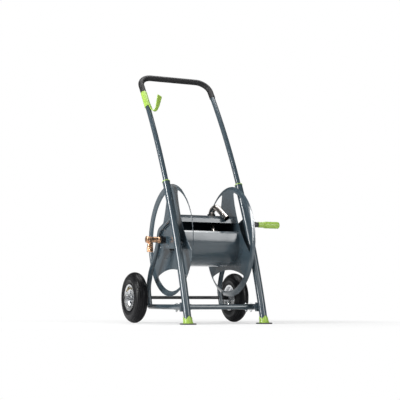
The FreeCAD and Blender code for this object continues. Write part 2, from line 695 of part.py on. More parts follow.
# ---------------------------------------------------------------------------------------------
# Handle
# ---------------------------------------------------------------------------------------------
def handle_path(start):
    """Up the left arm from a distance along the bow, across, and down the right arm."""
    reach = value("HandleReach")
    bend = value("HandleBend")
    turn_in = reach - bend
    up = bow_tangent(turn_in)
    left_turn = bow_point(-LEG_X, turn_in)
    right_turn = bow_point(LEG_X, turn_in)
    left_low = bow_point(-LEG_X, start)
    right_low = bow_point(LEG_X, start)
    left_mid = bow_point(-LEG_X, (start + turn_in) / 2)
    right_mid = bow_point(LEG_X, (start + turn_in) / 2)
    quarter = 1 - math.sqrt(0.5)
    left_top = left_turn + up * bend + X_AXIS * bend
    right_top = right_turn + up * bend - X_AXIS * bend
    left_corner = left_turn + X_AXIS * bend * quarter + up * bend * math.sqrt(0.5)
    right_corner = right_turn - X_AXIS * bend * quarter + up * bend * math.sqrt(0.5)
    return Part.Wire([
        Part.Arc(left_low, left_mid, left_turn).toShape(),
        Part.Arc(left_turn, left_corner, left_top).toShape(),
        Part.LineSegment(left_top, right_top).toShape(),
        Part.Arc(right_top, right_corner, right_turn).toShape(),
        Part.Arc(right_turn, right_mid, right_low).toShape(),
    ])


def handle():
    """The U-shaped handle tube, its guides, the soft grip and the hose hook."""
    path = handle_path(value(HANDLE_START))
    outside = along_path("handle_tube_outside", path, "HandleDiameter / 2")
    inside = along_path("handle_tube_inside", path, "HandleDiameter / 2 - HandleWall")
    keep("handle_tube", cut("handle_tube", outside, inside))

    guides = [
        bowed_tube(
            "handle_guide_" + side, sign * LEG_X, HANDLE_START, HANDLE_START + " + GuideLength",
            LEG_BORE + " - SlideGap", "HandleDiameter / 2")
        for side, sign in SIDES
    ]
    keep("handle_guides", group("handle_guides", *guides))

    grip_path = handle_path(value(GRIP_START))
    skin = along_path("grip_sleeve_outside", grip_path, "HandleDiameter / 2 + GripWall")
    core = along_path("grip_sleeve_inside", grip_path, "HandleDiameter / 2")
    keep("grip_sleeve", cut("grip_sleeve", skin, core))


def hose_hook():
    """The hook on the left arm: a sleeve, and a strip that runs down, round and up."""
    top = value(GRIP_START) - 2
    base = top - value("HookSleeve")
    sleeve = bowed_rod(
        "hose_hook_sleeve", -LEG_X, f"{base}", f"{top}", "HandleDiameter / 2 + HookWall")
    bore = bowed_rod(
        "hose_hook_bore", -LEG_X, f"{base} - HookDepth", f"{top + 1}", "HandleDiameter / 2")
    origin = bow_point(-LEG_X, base)
    up = bow_tangent(base)
    back = up.cross(X_AXIS)
    swing = math.radians(value("HookSwing"))
    outward = X_AXIS * math.cos(swing) - back * math.sin(swing)
    radius = value("HandleDiameter / 2 + HookWall")
    reach = value("HookReach")
    centre_line = rounded_path([
        origin + outward * (radius - 3) + up * value("HookRootRise"),
        origin + outward * (radius + 1.5) - up * value("HookNeckDrop"),
        origin + outward * reach * 0.40 - up * value("HookDepth"),
        origin + outward * reach * 0.66 - up * value("HookElbowDrop"),
        origin + outward * reach + up * value("HookTipRise"),
    ], (16, 14, 30))
    width = outward.cross(up).normalize()
    half = value("HookWidth / 2")
    thick = value("HookStrip / 2")
    first = centre_line.OrderedEdges[0]
    start = first.valueAt(first.FirstParameter)
    heading = first.tangentAt(first.FirstParameter)
    side = heading.cross(width).normalize()
    corners = [
        start + width * half + side * thick,
        start - width * half + side * thick,
        start - width * half - side * thick,
        start + width * half - side * thick,
    ]
    profile = Part.makePolygon(corners + corners[:1])
    strip = DOC.addObject("Part::Feature", "hose_hook_strip")
    strip.Shape = centre_line.makePipeShell([profile], True, False)
    keep("hose_hook", cut("hose_hook", fuse("hose_hook_solid", sleeve, strip), bore))


# ---------------------------------------------------------------------------------------------
# Reel
# ---------------------------------------------------------------------------------------------
def on_reel(piece, x=0.0, turn=Rotation()):
    """Places a piece made about the X axis on the reel's axis."""
    piece.Placement = Placement(REEL + X_AXIS * x, turn)
    return piece


def flanges():
    """Pressed flanges: a flat plate with a flared lip and three lens-shaped windows."""
    face = "(ReelWidth / 2)"
    section = [
        (face, "SpindleDiameter / 2"),
        (f"{face} + FlangeSheet", "SpindleDiameter / 2"),
        (f"{face} + FlangeSheet", "FlangeFlat / 2 - FlangeSheet * 0.4"),
        (f"{face} + LipDepth", "FlangeDiameter / 2 - FlangeSheet"),
        (f"{face} + LipDepth", "FlangeDiameter / 2"),
        (f"{face} + LipDepth - FlangeSheet", "FlangeDiameter / 2"),
        (face, "FlangeFlat / 2 + FlangeSheet * 0.6"),
    ]
    depth = value("LipDepth * 4")
    for side, sign in SIDES:
        name = "reel_flange_" + side
        plate = revolved(name + "_plate", section)
        on_reel(plate, 0, Rotation(Z_AXIS, 90 - 90 * sign))
        cutters = []
        for index in range(3):
            angle = math.radians(-90 + 120 * index)
            out = Vector(0, math.cos(angle), math.sin(angle))
            start = REEL + X_AXIS * (sign * FLANGE_FACE - depth / 2)
            edge = rod(f"{name}_edge_{index}", "WindowOuter / 2", "LipDepth * 4", start, X_AXIS)
            arch_start = start + out * value("WindowArch + WindowRadius")
            arch = rod(f"{name}_arch_{index}", "WindowRadius", "LipDepth * 4", arch_start, X_AXIS)
            lens = common(f"{name}_lens_{index}", edge, arch)
            DOC.recompute()
            corners = [
                number for number, line in enumerate(lens.Shape.Edges, start=1)
                if line.Curve.TypeId == "Part::GeomLine" and line.Length > depth * 0.9
            ]
            window = DOC.addObject("Part::Fillet", f"{name}_window_{index}")
            window.Base = lens
            corner = value("WindowCorner")
            window.Edges = [(number, corner, corner) for number in corners]
            cutters.append(window)
        holes = []
        for index in range(6):
            holes.append(rod(
                f"{name}_drum_hole_{index}", "ScrewDiameter / 2", "LipDepth * 4",
                rim_spot(index, sign * FLANGE_FACE - depth / 2), X_AXIS))
        for index in range(3):
            holes.append(rod(
                f"{name}_hub_hole_{index}", "ScrewDiameter / 2", "LipDepth * 4",
                hub_spot(index, sign * FLANGE_FACE - depth / 2), X_AXIS))
        keep(name, cut(name, plate, *cutters, *holes))


def rim_spot(index, x):
    """Where a drum screw sits: two beside each of the flange's three arms."""
    beside = value("TabAngle") * (1 if index % 2 else -1)
    angle = math.radians(90 + 120 * (index // 2) + beside)
    radius = value("DrumDiameter / 2 - DrumSheet - TabInset")
    return REEL + Vector(x, radius * math.cos(angle), radius * math.sin(angle))


def hub_spot(index, x):
    """Where a hub screw sits."""
    angle = math.radians(90 + 120 * index)
    radius = value("HubDisc / 2 - HubScrewInset")
    return REEL + Vector(x, radius * math.cos(angle), radius * math.sin(angle))


def drum():
    """A rolled drum, open along a slot whose edges are folded inwards, with end tabs."""
    outer = "DrumDiameter / 2"
    inner = "DrumDiameter / 2 - DrumSheet"
    start = REEL - X_AXIS * value("ReelWidth / 2")
    shell = tube("reel_drum_shell", outer, inner, "ReelWidth", start, X_AXIS)
    low = math.radians(180 - value("DrumSlotLow"))
    high = math.radians(180 - value("DrumSlotHigh"))
    far = value("DrumDiameter")
    corners = [start] + [
        start + Vector(0, far * math.cos(angle), far * math.sin(angle)) for angle in (low, high)
    ]
    slot = DOC.addObject("Part::Feature", "reel_drum_slot")
    slot.Shape = Part.Face(Part.makePolygon(corners + corners[:1])).extrude(
        X_AXIS * value("ReelWidth"))
    opened = cut("reel_drum_open", shell, slot)
    folds = []
    for name, angle, turn, depth in (
            ("low", low, "FoldLowTurn", "FoldLow"), ("high", high, "FoldHighTurn", "FoldHigh")):
        half = value("DrumSheet / 2")
        turned = math.radians(value(turn))
        heading = Vector(0, math.cos(turned), math.sin(turned))
        aside = X_AXIS.cross(heading) * half
        out = Vector(0, math.cos(angle), math.sin(angle))
        root = start + out * value("DrumDiameter / 2 - DrumSheet / 2")
        base = [
            root - heading * half + aside,
            root + heading * value(depth) + aside,
            root + heading * value(depth) - aside,
            root - heading * half - aside,
        ]
        fold = DOC.addObject("Part::Feature", "reel_drum_fold_" + name)
        fold.Shape = Part.Face(Part.makePolygon(base + base[:1])).extrude(
            X_AXIS * value("ReelWidth"))
        folds.append(fold)
    tabs = []
    holes = []
    for side, sign in SIDES:
        for index in range(6):
            name = f"reel_drum_tab_{side}_{index}"
            spot = rim_spot(index, 0)
            out = (spot - REEL).normalize()
            middle = out * value("DrumDiameter / 2 - DrumSheet / 2 - TabInset")
            tab = block(name, "DrumSheet", "TabSize", "TabSize", Vector(0, 0, 0))
            shift = sign * value("ReelWidth / 2 - DrumSheet / 2")
            swing = Rotation(X_AXIS, math.degrees(math.atan2(out.z, out.y)))
            tab.Placement = Placement(
                REEL + X_AXIS * shift + middle, swing).multiply(tab.Placement)
            tabs.append(tab)
            holes.append(rod(
                name + "_hole", "ScrewDiameter / 2", "DrumSheet * 3",
                spot + X_AXIS * (shift - value("DrumSheet * 1.5")), X_AXIS))
    pipe_hole = rod(
        "reel_drum_pipe_hole", "PipeDiameter / 2 + 1", "DrumDiameter", pipe_points()[0],
        pipe_points()[1] - pipe_points()[0])
    keep("reel_drum", cut(
        "reel_drum", fuse("reel_drum_solid", opened, *folds, *tabs), pipe_hole, *holes))


def hubs_and_spindle():
    """The hollow spindle, and a hub with a disc and a sleeve on each flange."""
    spindle_end = CRANK_PLANE + value("CrankSheet + CrankCap")
    left = REEL - X_AXIS * SHOULDER
    barrel = rod(
        "reel_spindle_barrel", "SpindleDiameter / 2", f"{SHOULDER + spindle_end}", left, X_AXIS)
    spigot_length = value("InletBranch") - 6
    spigot = rod(
        "reel_spindle_spigot", "InletSpigot / 2", f"{spigot_length}", left, X_AXIS * -1)
    pipe_x = value("PipeOffset")
    bore = rod(
        "reel_spindle_bore", WATER_BORE, f"{SHOULDER + spigot_length + pipe_x + 8}",
        left - X_AXIS * (spigot_length + 1), X_AXIS)
    port = rod(
        "reel_spindle_port", WATER_BORE, "SpindleDiameter",
        REEL + X_AXIS * pipe_x, Z_AXIS)
    keep("reel_spindle", cut(
        "reel_spindle", fuse("reel_spindle_solid", barrel, spigot), bore, port))

    screws = []
    inner_end = PLATE_X - value("PlateSheet / 2 + BushDepth + EndPlay")
    for side, sign in SIDES:
        outward = X_AXIS * sign
        name = "reel_hub_" + side
        face = REEL + outward * FLANGE_FACE
        disc = rod(name + "_disc", "HubDisc / 2", "HubSheet", face, outward)
        sleeve = rod(name + "_sleeve", "HubSleeve / 2", f"{inner_end - FLANGE_FACE}", face, outward)
        bore = rod(name + "_bore", "SpindleDiameter / 2", "HubSheet * 30", face, outward)
        holes = []
        for index in range(3):
            spot = hub_spot(index, sign * FLANGE_FACE)
            holes.append(rod(
                f"{name}_hole_{index}", "ScrewDiameter / 2", "HubSheet * 2", spot, outward))
            screws.append(bolt(
                f"hub_screw_{side}_{index}", spot + outward * value("HubSheet"), outward * -1,
                "HubSheet + FlangeSheet + 8", "ScrewDiameter"))
        keep(name, cut(name, fuse(name + "_solid", disc, sleeve), bore, *holes))
    keep("hub_screws", group("hub_screws", *screws))

    screws = []
    for side, sign in SIDES:
        for index in range(6):
            spot = rim_spot(index, sign * FLANGE_FACE)
            screws.append(bolt(
                f"drum_screw_{side}_{index}", spot, X_AXIS * -sign,
                "FlangeSheet + DrumSheet + 6", "ScrewDiameter"))
    keep("drum_screws", group("drum_screws", *screws))


def pipe_points():
    """The outlet pipe's corner points, from the spindle up through the drum and forwards."""
    base = REEL + X_AXIS * value("PipeOffset")
    drum_top = value("DrumDiameter / 2")
    return [
        base + Vector(0, 0, value("SpindleDiameter / 2 + PipeSeat")),
        base + Vector(2, value("PipeBack"), drum_top + value("PipeRise")),
        base + Vector(
            value("PipeMouthAside"), -value("PipeMouthFront"), drum_top - value("PipeMouthDrop")),
    ]


def outlet():
    """The water's way out: a feed block on the spindle and the bent outlet pipe."""
    points = pipe_points()
    path = rounded_path(points, (value("PipeBend"),))
    outside = along_path("outlet_gooseneck_outside", path, "PipeDiameter / 2")
    inside = along_path("outlet_gooseneck_inside", path, "PipeDiameter / 2 - PipeWall")
    keep("outlet_gooseneck", cut("outlet_gooseneck", outside, inside))

    heading = (points[1] - points[0]).normalize()
    centre = REEL + X_AXIS * value("PipeOffset")
    body = rod(
        "feed_block_body", "SpindleDiameter / 2 + 5", "PipeDiameter + 12",
        centre - X_AXIS * value("PipeDiameter / 2 + 6"), X_AXIS)
    neck = rod(
        "feed_block_neck", "PipeDiameter / 2 + 3", "SpindleDiameter / 2 + 30", centre, heading)
    spindle_room = rod(
        "feed_block_spindle_room", "SpindleDiameter / 2", "PipeDiameter + 14",
        centre - X_AXIS * value("PipeDiameter / 2 + 7"), X_AXIS)
    pipe_room = rod("feed_block_pipe_room", "PipeDiameter / 2", "60", points[0], heading)
    water_way = rod("feed_block_water_way", WATER_BORE, "40", centre, heading)
    keep("feed_block", cut(
        "feed_block", fuse("feed_block_solid", body, neck), spindle_room, pipe_room, water_way))

    drum_top = value("DrumDiameter / 2")
    reach = math.sqrt(drum_top ** 2 - (heading.y * drum_top) ** 2)
    lock_place = points[0] + heading * (reach - value("SpindleDiameter / 2 + PipeSeat") + 2)
    ring = hexagon(
        "outlet_nut_body", "PipeDiameter / 2 + 7", "PipeLockNut", lock_place, heading)
    hole = along_path("outlet_nut_hole", path, "PipeDiameter / 2")
    drum_room = rod(
        "outlet_nut_drum_room", "DrumDiameter / 2", "ReelWidth",
        REEL - X_AXIS * value("ReelWidth / 2"), X_AXIS)
    keep("outlet_nut", cut("outlet_nut", ring, hole, drum_room))


# ---------------------------------------------------------------------------------------------
# Crank
# ---------------------------------------------------------------------------------------------
def crank():
    """The crank arm on the spindle, with a turning grip on its pin."""
    root = REEL + X_AXIS * CRANK_PLANE
    angle = math.radians(value("CrankAngle"))
    out = Vector(0, math.cos(angle), math.sin(angle))
    pin_place = root + out * value("CrankLength")
    boss = rod("crank_arm_boss", "CrankBoss / 2", "CrankSheet", root, X_AXIS)
    eye = rod("crank_arm_eye", "CrankPin + 2", "CrankSheet", pin_place, X_AXIS)
    bar = block(
        "crank_arm_bar", "CrankSheet", "CrankLength", "CrankPin * 2",
        Vector(value("CrankSheet / 2"), value("CrankLength / 2"), 0))
    bar.Placement = Placement(root, Rotation(Y_AXIS, out)).multiply(bar.Placement)
    bore = rod(
        "crank_arm_bore", "SpindleDiameter / 2", "CrankSheet * 2", root - X_AXIS * 2, X_AXIS)
    pin_hole = rod(
        "crank_arm_pin_hole", "CrankPin / 2", "CrankSheet * 2", pin_place - X_AXIS * 2, X_AXIS)
    keep("crank_arm", cut(
        "crank_arm", fuse("crank_arm_solid", boss, eye, bar), bore, pin_hole))

    bolt_face = root + X_AXIS * value("CrankSheet + CrankCap")
    cap = rod("crank_bolt_washer", "CrankBoss * 0.42", "CrankCap", bolt_face, X_AXIS)
    head = hexagon("crank_bolt_head", "BoltDiameter", "BoltDiameter * 0.7",
                   bolt_face + X_AXIS * value("CrankCap"), X_AXIS)
    keep("crank_bolt", fuse("crank_bolt", cap, head))

    grip_start = CRANK_PLANE + value("CrankSheet + EndPlay + CollarLength + EndPlay")
    grip_end = grip_start + value("GripLength")
    head_depth = value("PinHeadDepth")
    pin_length = f"{grip_end - CRANK_PLANE - head_depth}"
    shank = rod("crank_pin_shank", "CrankPin / 2", pin_length, pin_place, X_AXIS)
    retainer = rod(
        "crank_pin_head", "CrankPin / 2 + 3", "4",
        Vector(grip_end - head_depth, pin_place.y, pin_place.z), X_AXIS)
    keep("crank_pin", fuse("crank_pin", shank, retainer))

    collar_start = pin_place + X_AXIS * value("CrankSheet + EndPlay")
    keep("crank_collar", tube(
        "crank_collar", "CollarDiameter / 2", "CrankPin / 2 + RunningFit", "CollarLength",
        collar_start, X_AXIS))

    section = [
        ("0", "CrankPin / 2 + RunningFit"),
        ("0", "GripNeck / 2 - 1"),
        ("1", "GripNeck / 2"),
        ("GripNeckLength - 4", "GripNeck / 2"),
        ("GripNeckLength + 6", "GripDiameter / 2"),
        ("GripLength - 7", "GripDiameter / 2"),
        ("GripLength - 2", "GripDiameter / 2 - 2"),
        ("GripLength", "GripDiameter / 2 - 6"),
        ("GripLength", "0"),
        ("GripLength - 7", "0"),
        ("GripLength - 7", "CrankPin / 2 + 3.6"),
        ("GripLength - PinHeadDepth - EndPlay", "CrankPin / 2 + 3.6"),
        ("GripLength - PinHeadDepth - EndPlay", "CrankPin / 2 + RunningFit"),
    ]
    grip = revolved("crank_grip", section)
    grip.Placement = Placement(Vector(grip_start, pin_place.y, pin_place.z), Rotation())
    keep("crank_grip", grip)


# ---------------------------------------------------------------------------------------------
# Water inlet
# ---------------------------------------------------------------------------------------------
def inlet():
    """The swivel on the spindle's left end: a long nut, an elbow and a hose coupling."""
    nut_start = REEL - X_AXIS * (BUSH_END + value("EndPlay"))
    nut_length = SHOULDER - BUSH_END - value("EndPlay")
    sleeve = rod(
        "swivel_nut_sleeve", "SpindleDiameter / 2 + 3.5", f"{nut_length}", nut_start, X_AXIS * -1)
    body = hexagon(
        "swivel_nut_body", "SpindleDiameter / 2 + 5.5", "SwivelNut",
        REEL - X_AXIS * (SHOULDER - value("SwivelNut")), X_AXIS * -1)
    hole = rod(
        "swivel_nut_hole", "SpindleDiameter / 2", f"{nut_length + 2}", nut_start + X_AXIS,
        X_AXIS * -1)
    keep("swivel_nut", cut("swivel_nut", fuse("swivel_nut_solid", sleeve, body), hole))

    start = REEL - X_AXIS * (SHOULDER + value("EndPlay"))
    length = value("InletReach - EndPlay")
    barrel = rod("inlet_elbow_barrel", "InletBody / 2", f"{length}", start, X_AXIS * -1)
    rim = rod(
        "inlet_elbow_rim", "InletBody / 2 + 2.5", "8", REEL - X_AXIS * (INLET_END - 8), X_AXIS * -1)
    shoulder_ring = rod("inlet_elbow_shoulder", "InletBody / 2 + 2", "10", start, X_AXIS * -1)
    branch_top = REEL - X_AXIS * INLET_BRANCH
    branch = rod(
        "inlet_elbow_branch", "CouplingBore / 2 - 2", "InletDrop - CouplingLength + CouplingWall + 1",
        branch_top, Z_AXIS * -1)
    lip = rod(
        "inlet_elbow_lip", "CouplingBore / 2 - 0.6", "3",
        branch_top - Z_AXIS * value("InletDrop - CouplingLength + CouplingWall + EndPlay / 2"),
        Z_AXIS * -1)
    collar = rod(
        "inlet_elbow_collar", "CouplingBore / 2 + 1.5", "6",
        branch_top - Z_AXIS * value("InletDrop - CouplingLength - 7"), Z_AXIS * -1)
    bore = rod(
        "inlet_elbow_bore", "InletSpigot / 2 + RunningFit", f"{length - 8}", start + X_AXIS,
        X_AXIS * -1)
    drop = rod(
        "inlet_elbow_drop", "CouplingBore / 2 - 5", "InletDrop", branch_top, Z_AXIS * -1)
    keep("inlet_elbow", cut(
        "inlet_elbow", fuse("inlet_elbow_solid", barrel, rim, shoulder_ring, branch, lip, collar),
        bore, drop))

    mouth = branch_top - Z_AXIS * value("InletDrop")
    shell = rod("inlet_coupling_shell", "CouplingDiameter / 2", "CouplingLength", mouth)
    thread = rod("inlet_coupling_thread", "CouplingBore / 2", "CouplingThread", mouth)
    groove = rod(
        "inlet_coupling_groove", "CouplingBore / 2 + CouplingGroove",
        "CouplingLength - CouplingWall - CouplingThread", mouth + Z_AXIS * value("CouplingThread"))
    throat = rod(
        "inlet_coupling_throat", "CouplingBore / 2 - 2 + SlideGap", "CouplingLength + 2", mouth)
    keep("inlet_coupling", cut("inlet_coupling", shell, thread, groove, throat))


# ---------------------------------------------------------------------------------------------
# Wheels
# ---------------------------------------------------------------------------------------------
def wheels():
    """Pneumatic wheels: tyre, two pressed rim halves, hub tube, bearings and valve."""
    ring = "(WheelDiameter / 2 - TyreWidth / 2)"
    for side, sign in SIDES:
        centre = AXLE + X_AXIS * sign * WHEEL_PLANE
        turn = Rotation(Z_AXIS, 90 - 90 * sign)

        name = "tyre_" + side
        outside = bind(
            DOC.addObject("Part::Torus", name + "_outside"), Radius1=ring, Radius2="TyreWidth / 2")
        inside = bind(
            DOC.addObject("Part::Torus", name + "_inside"), Radius1=ring,
            Radius2="TyreWidth / 2 - TyreWall")
        for torus in (outside, inside):
            torus.Placement = Placement(centre, facing(X_AXIS))
        seat = rod(
            name + "_seat", "RimBarrel / 2", "TyreWidth", centre - X_AXIS * value("TyreWidth / 2"),
            X_AXIS)
        mouth = rod(
            name + "_mouth", ring, "TyreWidth * 0.36",
            centre - X_AXIS * value("TyreWidth * 0.18"), X_AXIS)
        flange_room = [
            rod(f"{name}_flange_room_{index}", "RimDiameter / 2 + SlideGap", "TyreWidth",
                centre + X_AXIS * way * value("RimWidth / 2 - RimSheet * 2"), X_AXIS * way)
            for index, way in enumerate((-1, 1))
        ]
        keep(name, cut(name, outside, inside, seat, mouth, *flange_room))

        section = [
            ("RimWeb", "HubDiameter / 2"),
            ("RimWeb + RimSheet", "HubDiameter / 2"),
            ("RimWeb + RimSheet", "RimBarrel / 2 - RimSheet - 8"),
            ("RimWeb + RimSheet + 3", "RimBarrel / 2 - RimSheet"),
            ("RimWidth / 2 - RimSheet", "RimBarrel / 2 - RimSheet"),
            ("RimWidth / 2", "RimDiameter / 2 - RimSheet"),
            ("RimWidth / 2", "RimDiameter / 2"),
            ("RimWidth / 2 - RimSheet", "RimDiameter / 2"),
            ("RimWidth / 2 - RimSheet * 2", "RimBarrel / 2"),
            ("0", "RimBarrel / 2"),
            ("0", "RimBarrel / 2 - RimSheet"),
            ("RimWeb - 1", "RimBarrel / 2 - RimSheet"),
            ("RimWeb", "RimBarrel / 2 - RimSheet - 6"),
        ]
        for half, way in (("outer", 1), ("inner", -1)):
            name = f"rim_{half}_{side}"
            disc = revolved(name + "_disc", section)
            disc.Placement = Placement(centre, Rotation(Z_AXIS, 90 - 90 * sign * way))
            slots = []
            for index in range(4):
                angle = math.radians(45 + 90 * index)
                spot = Vector(0, math.cos(angle), math.sin(angle)) * value(
                    "HubDiameter / 4 + RimBarrel / 4 - 1")
                slots.append(rod(
                    f"{name}_slot_{index}", "RimBarrel / 4 - HubDiameter / 4 - 10.5", "RimWidth",
                    centre + spot - X_AXIS * value("RimWidth / 2"), X_AXIS))
            keep(name, cut(name, disc, *slots))

        name = "wheel_hub_" + side
        hub_start = centre - X_AXIS * value("HubLength / 2")
        shell = rod(name + "_shell", "HubDiameter / 2", "HubLength", hub_start, X_AXIS)
        core = rod(name + "_core", "HubDiameter / 2 - 6", "HubLength", hub_start, X_AXIS)
        cups = [
            rod(f"{name}_cup_{index}", "HubDiameter / 2 - 2.5", "BearingWidth",
                centre + X_AXIS * way * value("HubLength / 2 - BearingWidth"), X_AXIS * way)
            for index, way in enumerate((-1, 1))
        ]
        keep(name, cut(name, shell, core, *cups))
        bearings = [
            tube(f"wheel_bearing_{side}_{index}", "HubDiameter / 2 - 2.5",
                 "AxleDiameter / 2 + RunningFit", "BearingWidth",
                 centre + X_AXIS * way * value("HubLength / 2 - BearingWidth"), X_AXIS * way)
            for index, way in enumerate((-1, 1))
        ]
        keep("wheel_bearings_" + side, group("wheel_bearings_" + side, *bearings))

        name = "tyre_valve_" + side
        out = Vector(0, math.cos(0.9), math.sin(0.9))
        root = centre + out * value("RimBarrel / 2 - RimSheet") + X_AXIS * sign * value(
            "RimWeb + RimSheet + 9")
        heading = (out * -0.75 + X_AXIS * sign * 0.66).normalize()
        stem = rod(name + "_stem", "3.2", "26", root - heading * 1.5, heading)
        cap = rod(name + "_cap", "4", "9", root + heading * 22, heading)
        foot = cone(name + "_foot", "6.5", "3.2", "7", root - heading * 1.5, heading)
        rim_room = rod(
            name + "_rim_room", "RimBarrel / 2 - RimSheet", "TyreWidth",
            centre - X_AXIS * value("TyreWidth / 2"), X_AXIS)
        keep(name, common(name, fuse(name + "_solid", stem, cap, foot), rim_room))


# ---------------------------------------------------------------------------------------------
# Build, check and write
# ---------------------------------------------------------------------------------------------
def check_document():
    """Stops the build when an object failed or a sub-part's shape is missing or not valid."""
    DOC.recompute()
    for item in DOC.Objects:
        if "Invalid" in item.State or "Error" in item.State:
            raise RuntimeError(f"{item.Name} failed: {item.State}")
    for label, piece in PARTS.items():
        if piece.Shape.isNull() or not piece.Shape.isValid():
            raise RuntimeError(f"{label} has no valid shape")
        if not piece.Shape.Solids:
            raise RuntimeError(f"{label} has no solid")


legs_and_feet()
sockets_and_rails()
struts_and_plates()
axle()
handle()
hose_hook()
flanges()
drum()
hubs_and_spindle()
outlet()
crank()
inlet()
wheels()
check_document()

os.makedirs("parts", exist_ok=True)
for label, piece in PARTS.items():
    piece.Shape.exportStep(f"parts/{label}.step")
    box = piece.Shape.BoundBox
    print(f"{label:24s} {len(piece.Shape.Solids):3d} solids {piece.Shape.Volume / 1000:9.1f} cm3"
          f"  y {box.YMin:7.1f} {box.YMax:7.1f}  z {box.ZMin:7.1f} {box.ZMax:7.1f}")
print(len(PARTS), "sub-parts written")
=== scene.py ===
# %% [markdown]
# # A garden hose reel cart
#
# The cart stands on two feet in front and two air-filled wheels behind. A bowed tube frame
# carries a drum between two pressed flanges. A crank turns the drum, water comes in through a
# brass swivel on the left and leaves through a bent pipe on the drum, and a U-shaped handle
# slides out of the two legs.
#
# The metal frame comes from CAD and stays where it is. This lesson adds what CAD leaves plain:
# tyre tread, soft edges, the grip's foam, moulded plastic, turned brass, and the finishes.

# %% Load the frame
import json
import math

import bmesh
import bpy
from mathutils import Matrix, Vector


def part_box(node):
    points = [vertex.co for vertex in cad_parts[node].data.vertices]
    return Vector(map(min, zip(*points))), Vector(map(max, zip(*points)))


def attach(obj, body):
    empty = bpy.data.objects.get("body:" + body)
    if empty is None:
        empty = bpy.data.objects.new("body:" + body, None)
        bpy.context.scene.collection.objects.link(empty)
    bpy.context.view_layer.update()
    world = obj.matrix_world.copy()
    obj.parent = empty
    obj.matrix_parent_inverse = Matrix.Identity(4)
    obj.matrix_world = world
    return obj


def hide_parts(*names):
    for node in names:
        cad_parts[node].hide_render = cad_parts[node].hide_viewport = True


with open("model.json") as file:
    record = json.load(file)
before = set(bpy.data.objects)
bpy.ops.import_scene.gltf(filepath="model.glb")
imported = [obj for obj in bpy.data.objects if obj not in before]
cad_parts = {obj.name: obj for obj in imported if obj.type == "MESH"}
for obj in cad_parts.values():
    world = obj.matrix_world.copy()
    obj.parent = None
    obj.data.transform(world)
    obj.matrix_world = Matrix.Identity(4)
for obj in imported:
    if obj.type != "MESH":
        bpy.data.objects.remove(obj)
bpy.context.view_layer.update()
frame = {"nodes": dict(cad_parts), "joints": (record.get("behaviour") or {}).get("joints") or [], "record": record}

# %% [markdown]
# ## Landmarks
#
# Every piece is placed from the CAD nodes themselves. The reel's axis is the middle of a hub,
# the wheel axle is the middle of the axle rod, and the legs follow one long bow whose centre is
# the pivot of the handle's joint. Reading them keeps the pieces right if the frame changes.

# %% Landmarks
X_AXIS, Y_AXIS, Z_AXIS = Vector((1, 0, 0)), Vector((0, 1, 0)), Vector((0, 0, 1))
SIDES = (("left", -1), ("right", 1))
MM = 0.001


def middle(node):
    """The middle of a CAD node's box."""
    low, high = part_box(node)
    return (low + high) / 2


REEL = Vector((0, middle("reel_hub_left").y, middle("reel_hub_left").z))
AXLE = Vector((0, middle("axle_rod").y, middle("axle_rod").z))
LEG_X = middle("leg_right").x
TELESCOPE = next(joint for joint in frame["joints"] if joint["name"] == "handle_telescope")
BOW_CENTRE = Vector(TELESCOPE["pos_m"])
BOW_RADIUS = BOW_CENTRE.length
BOW_START = math.atan2(-BOW_CENTRE.z, -BOW_CENTRE.y)


def bow_point(x, distance):
    """A point on the long bow, at a distance along it from the ground."""
    angle = BOW_START - distance / BOW_RADIUS
    return Vector((x, BOW_CENTRE.y + BOW_RADIUS * math.cos(angle),
                   BOW_CENTRE.z + BOW_RADIUS * math.sin(angle)))


def bow_heading(distance):
    """The direction of the bow, upwards."""
    angle = BOW_START - distance / BOW_RADIUS
    return Vector((0, math.sin(angle), -math.cos(angle)))


print("reel axis", REEL, "axle", AXLE, "legs at", round(LEG_X, 4), "bow radius", round(BOW_RADIUS, 3))

# %% [markdown]
# ## Shader groups
#
# A finish on a real machine is never one flat colour. Several effects return on many materials,
# so each is a small node group that is built once: a slow drift of tone, wear along the edges,
# the fine skin of a coating, dust that settles, and smudges that change the gloss. A group only
# puts out colours, masks and heights. The shader itself stays in each material.


# %% A helper for node groups
def shader_group(name, inputs, outputs):
    """An empty shader group with named sockets; returns the tree and its two end nodes."""
    tree = bpy.data.node_groups.new(name, "ShaderNodeTree")
    for label, kind, default in inputs:
        socket = tree.interface.new_socket(name=label, in_out="INPUT", socket_type=kind)
        socket.default_value = default
    for label, kind in outputs:
        tree.interface.new_socket(name=label, in_out="OUTPUT", socket_type=kind)
    return tree, tree.nodes.new("NodeGroupInput"), tree.nodes.new("NodeGroupOutput")


def node(tree, kind, **settings):
    """Adds a shader node; settings name its properties, and input_N gives a socket's value."""
    made = tree.nodes.new("ShaderNode" + kind)
    for key, given in settings.items():
        if key.startswith("input_"):
            made.inputs[int(key[6:])].default_value = given
        else:
            setattr(made, key, given)
    return made


def wire(tree, links):
    """Joins pairs: an output, or a node for its first output, and the input that it feeds."""
    for source, target in links:
        if isinstance(source, bpy.types.Node):
            source = source.outputs[0]
        tree.links.new(source, target)


def rest_place(tree, scale_socket):
    """Noise coordinates that stick to the piece: the object's own space."""
    place = node(tree, "TexCoord")
    noise = node(tree, "TexNoise", input_3=3.0, input_4=0.55)
    tree.links.new(place.outputs["Object"], noise.inputs["Vector"])
    tree.links.new(scale_socket, noise.inputs["Scale"])
    return noise


NUMBER, COLOUR = "NodeSocketFloat", "NodeSocketColor"

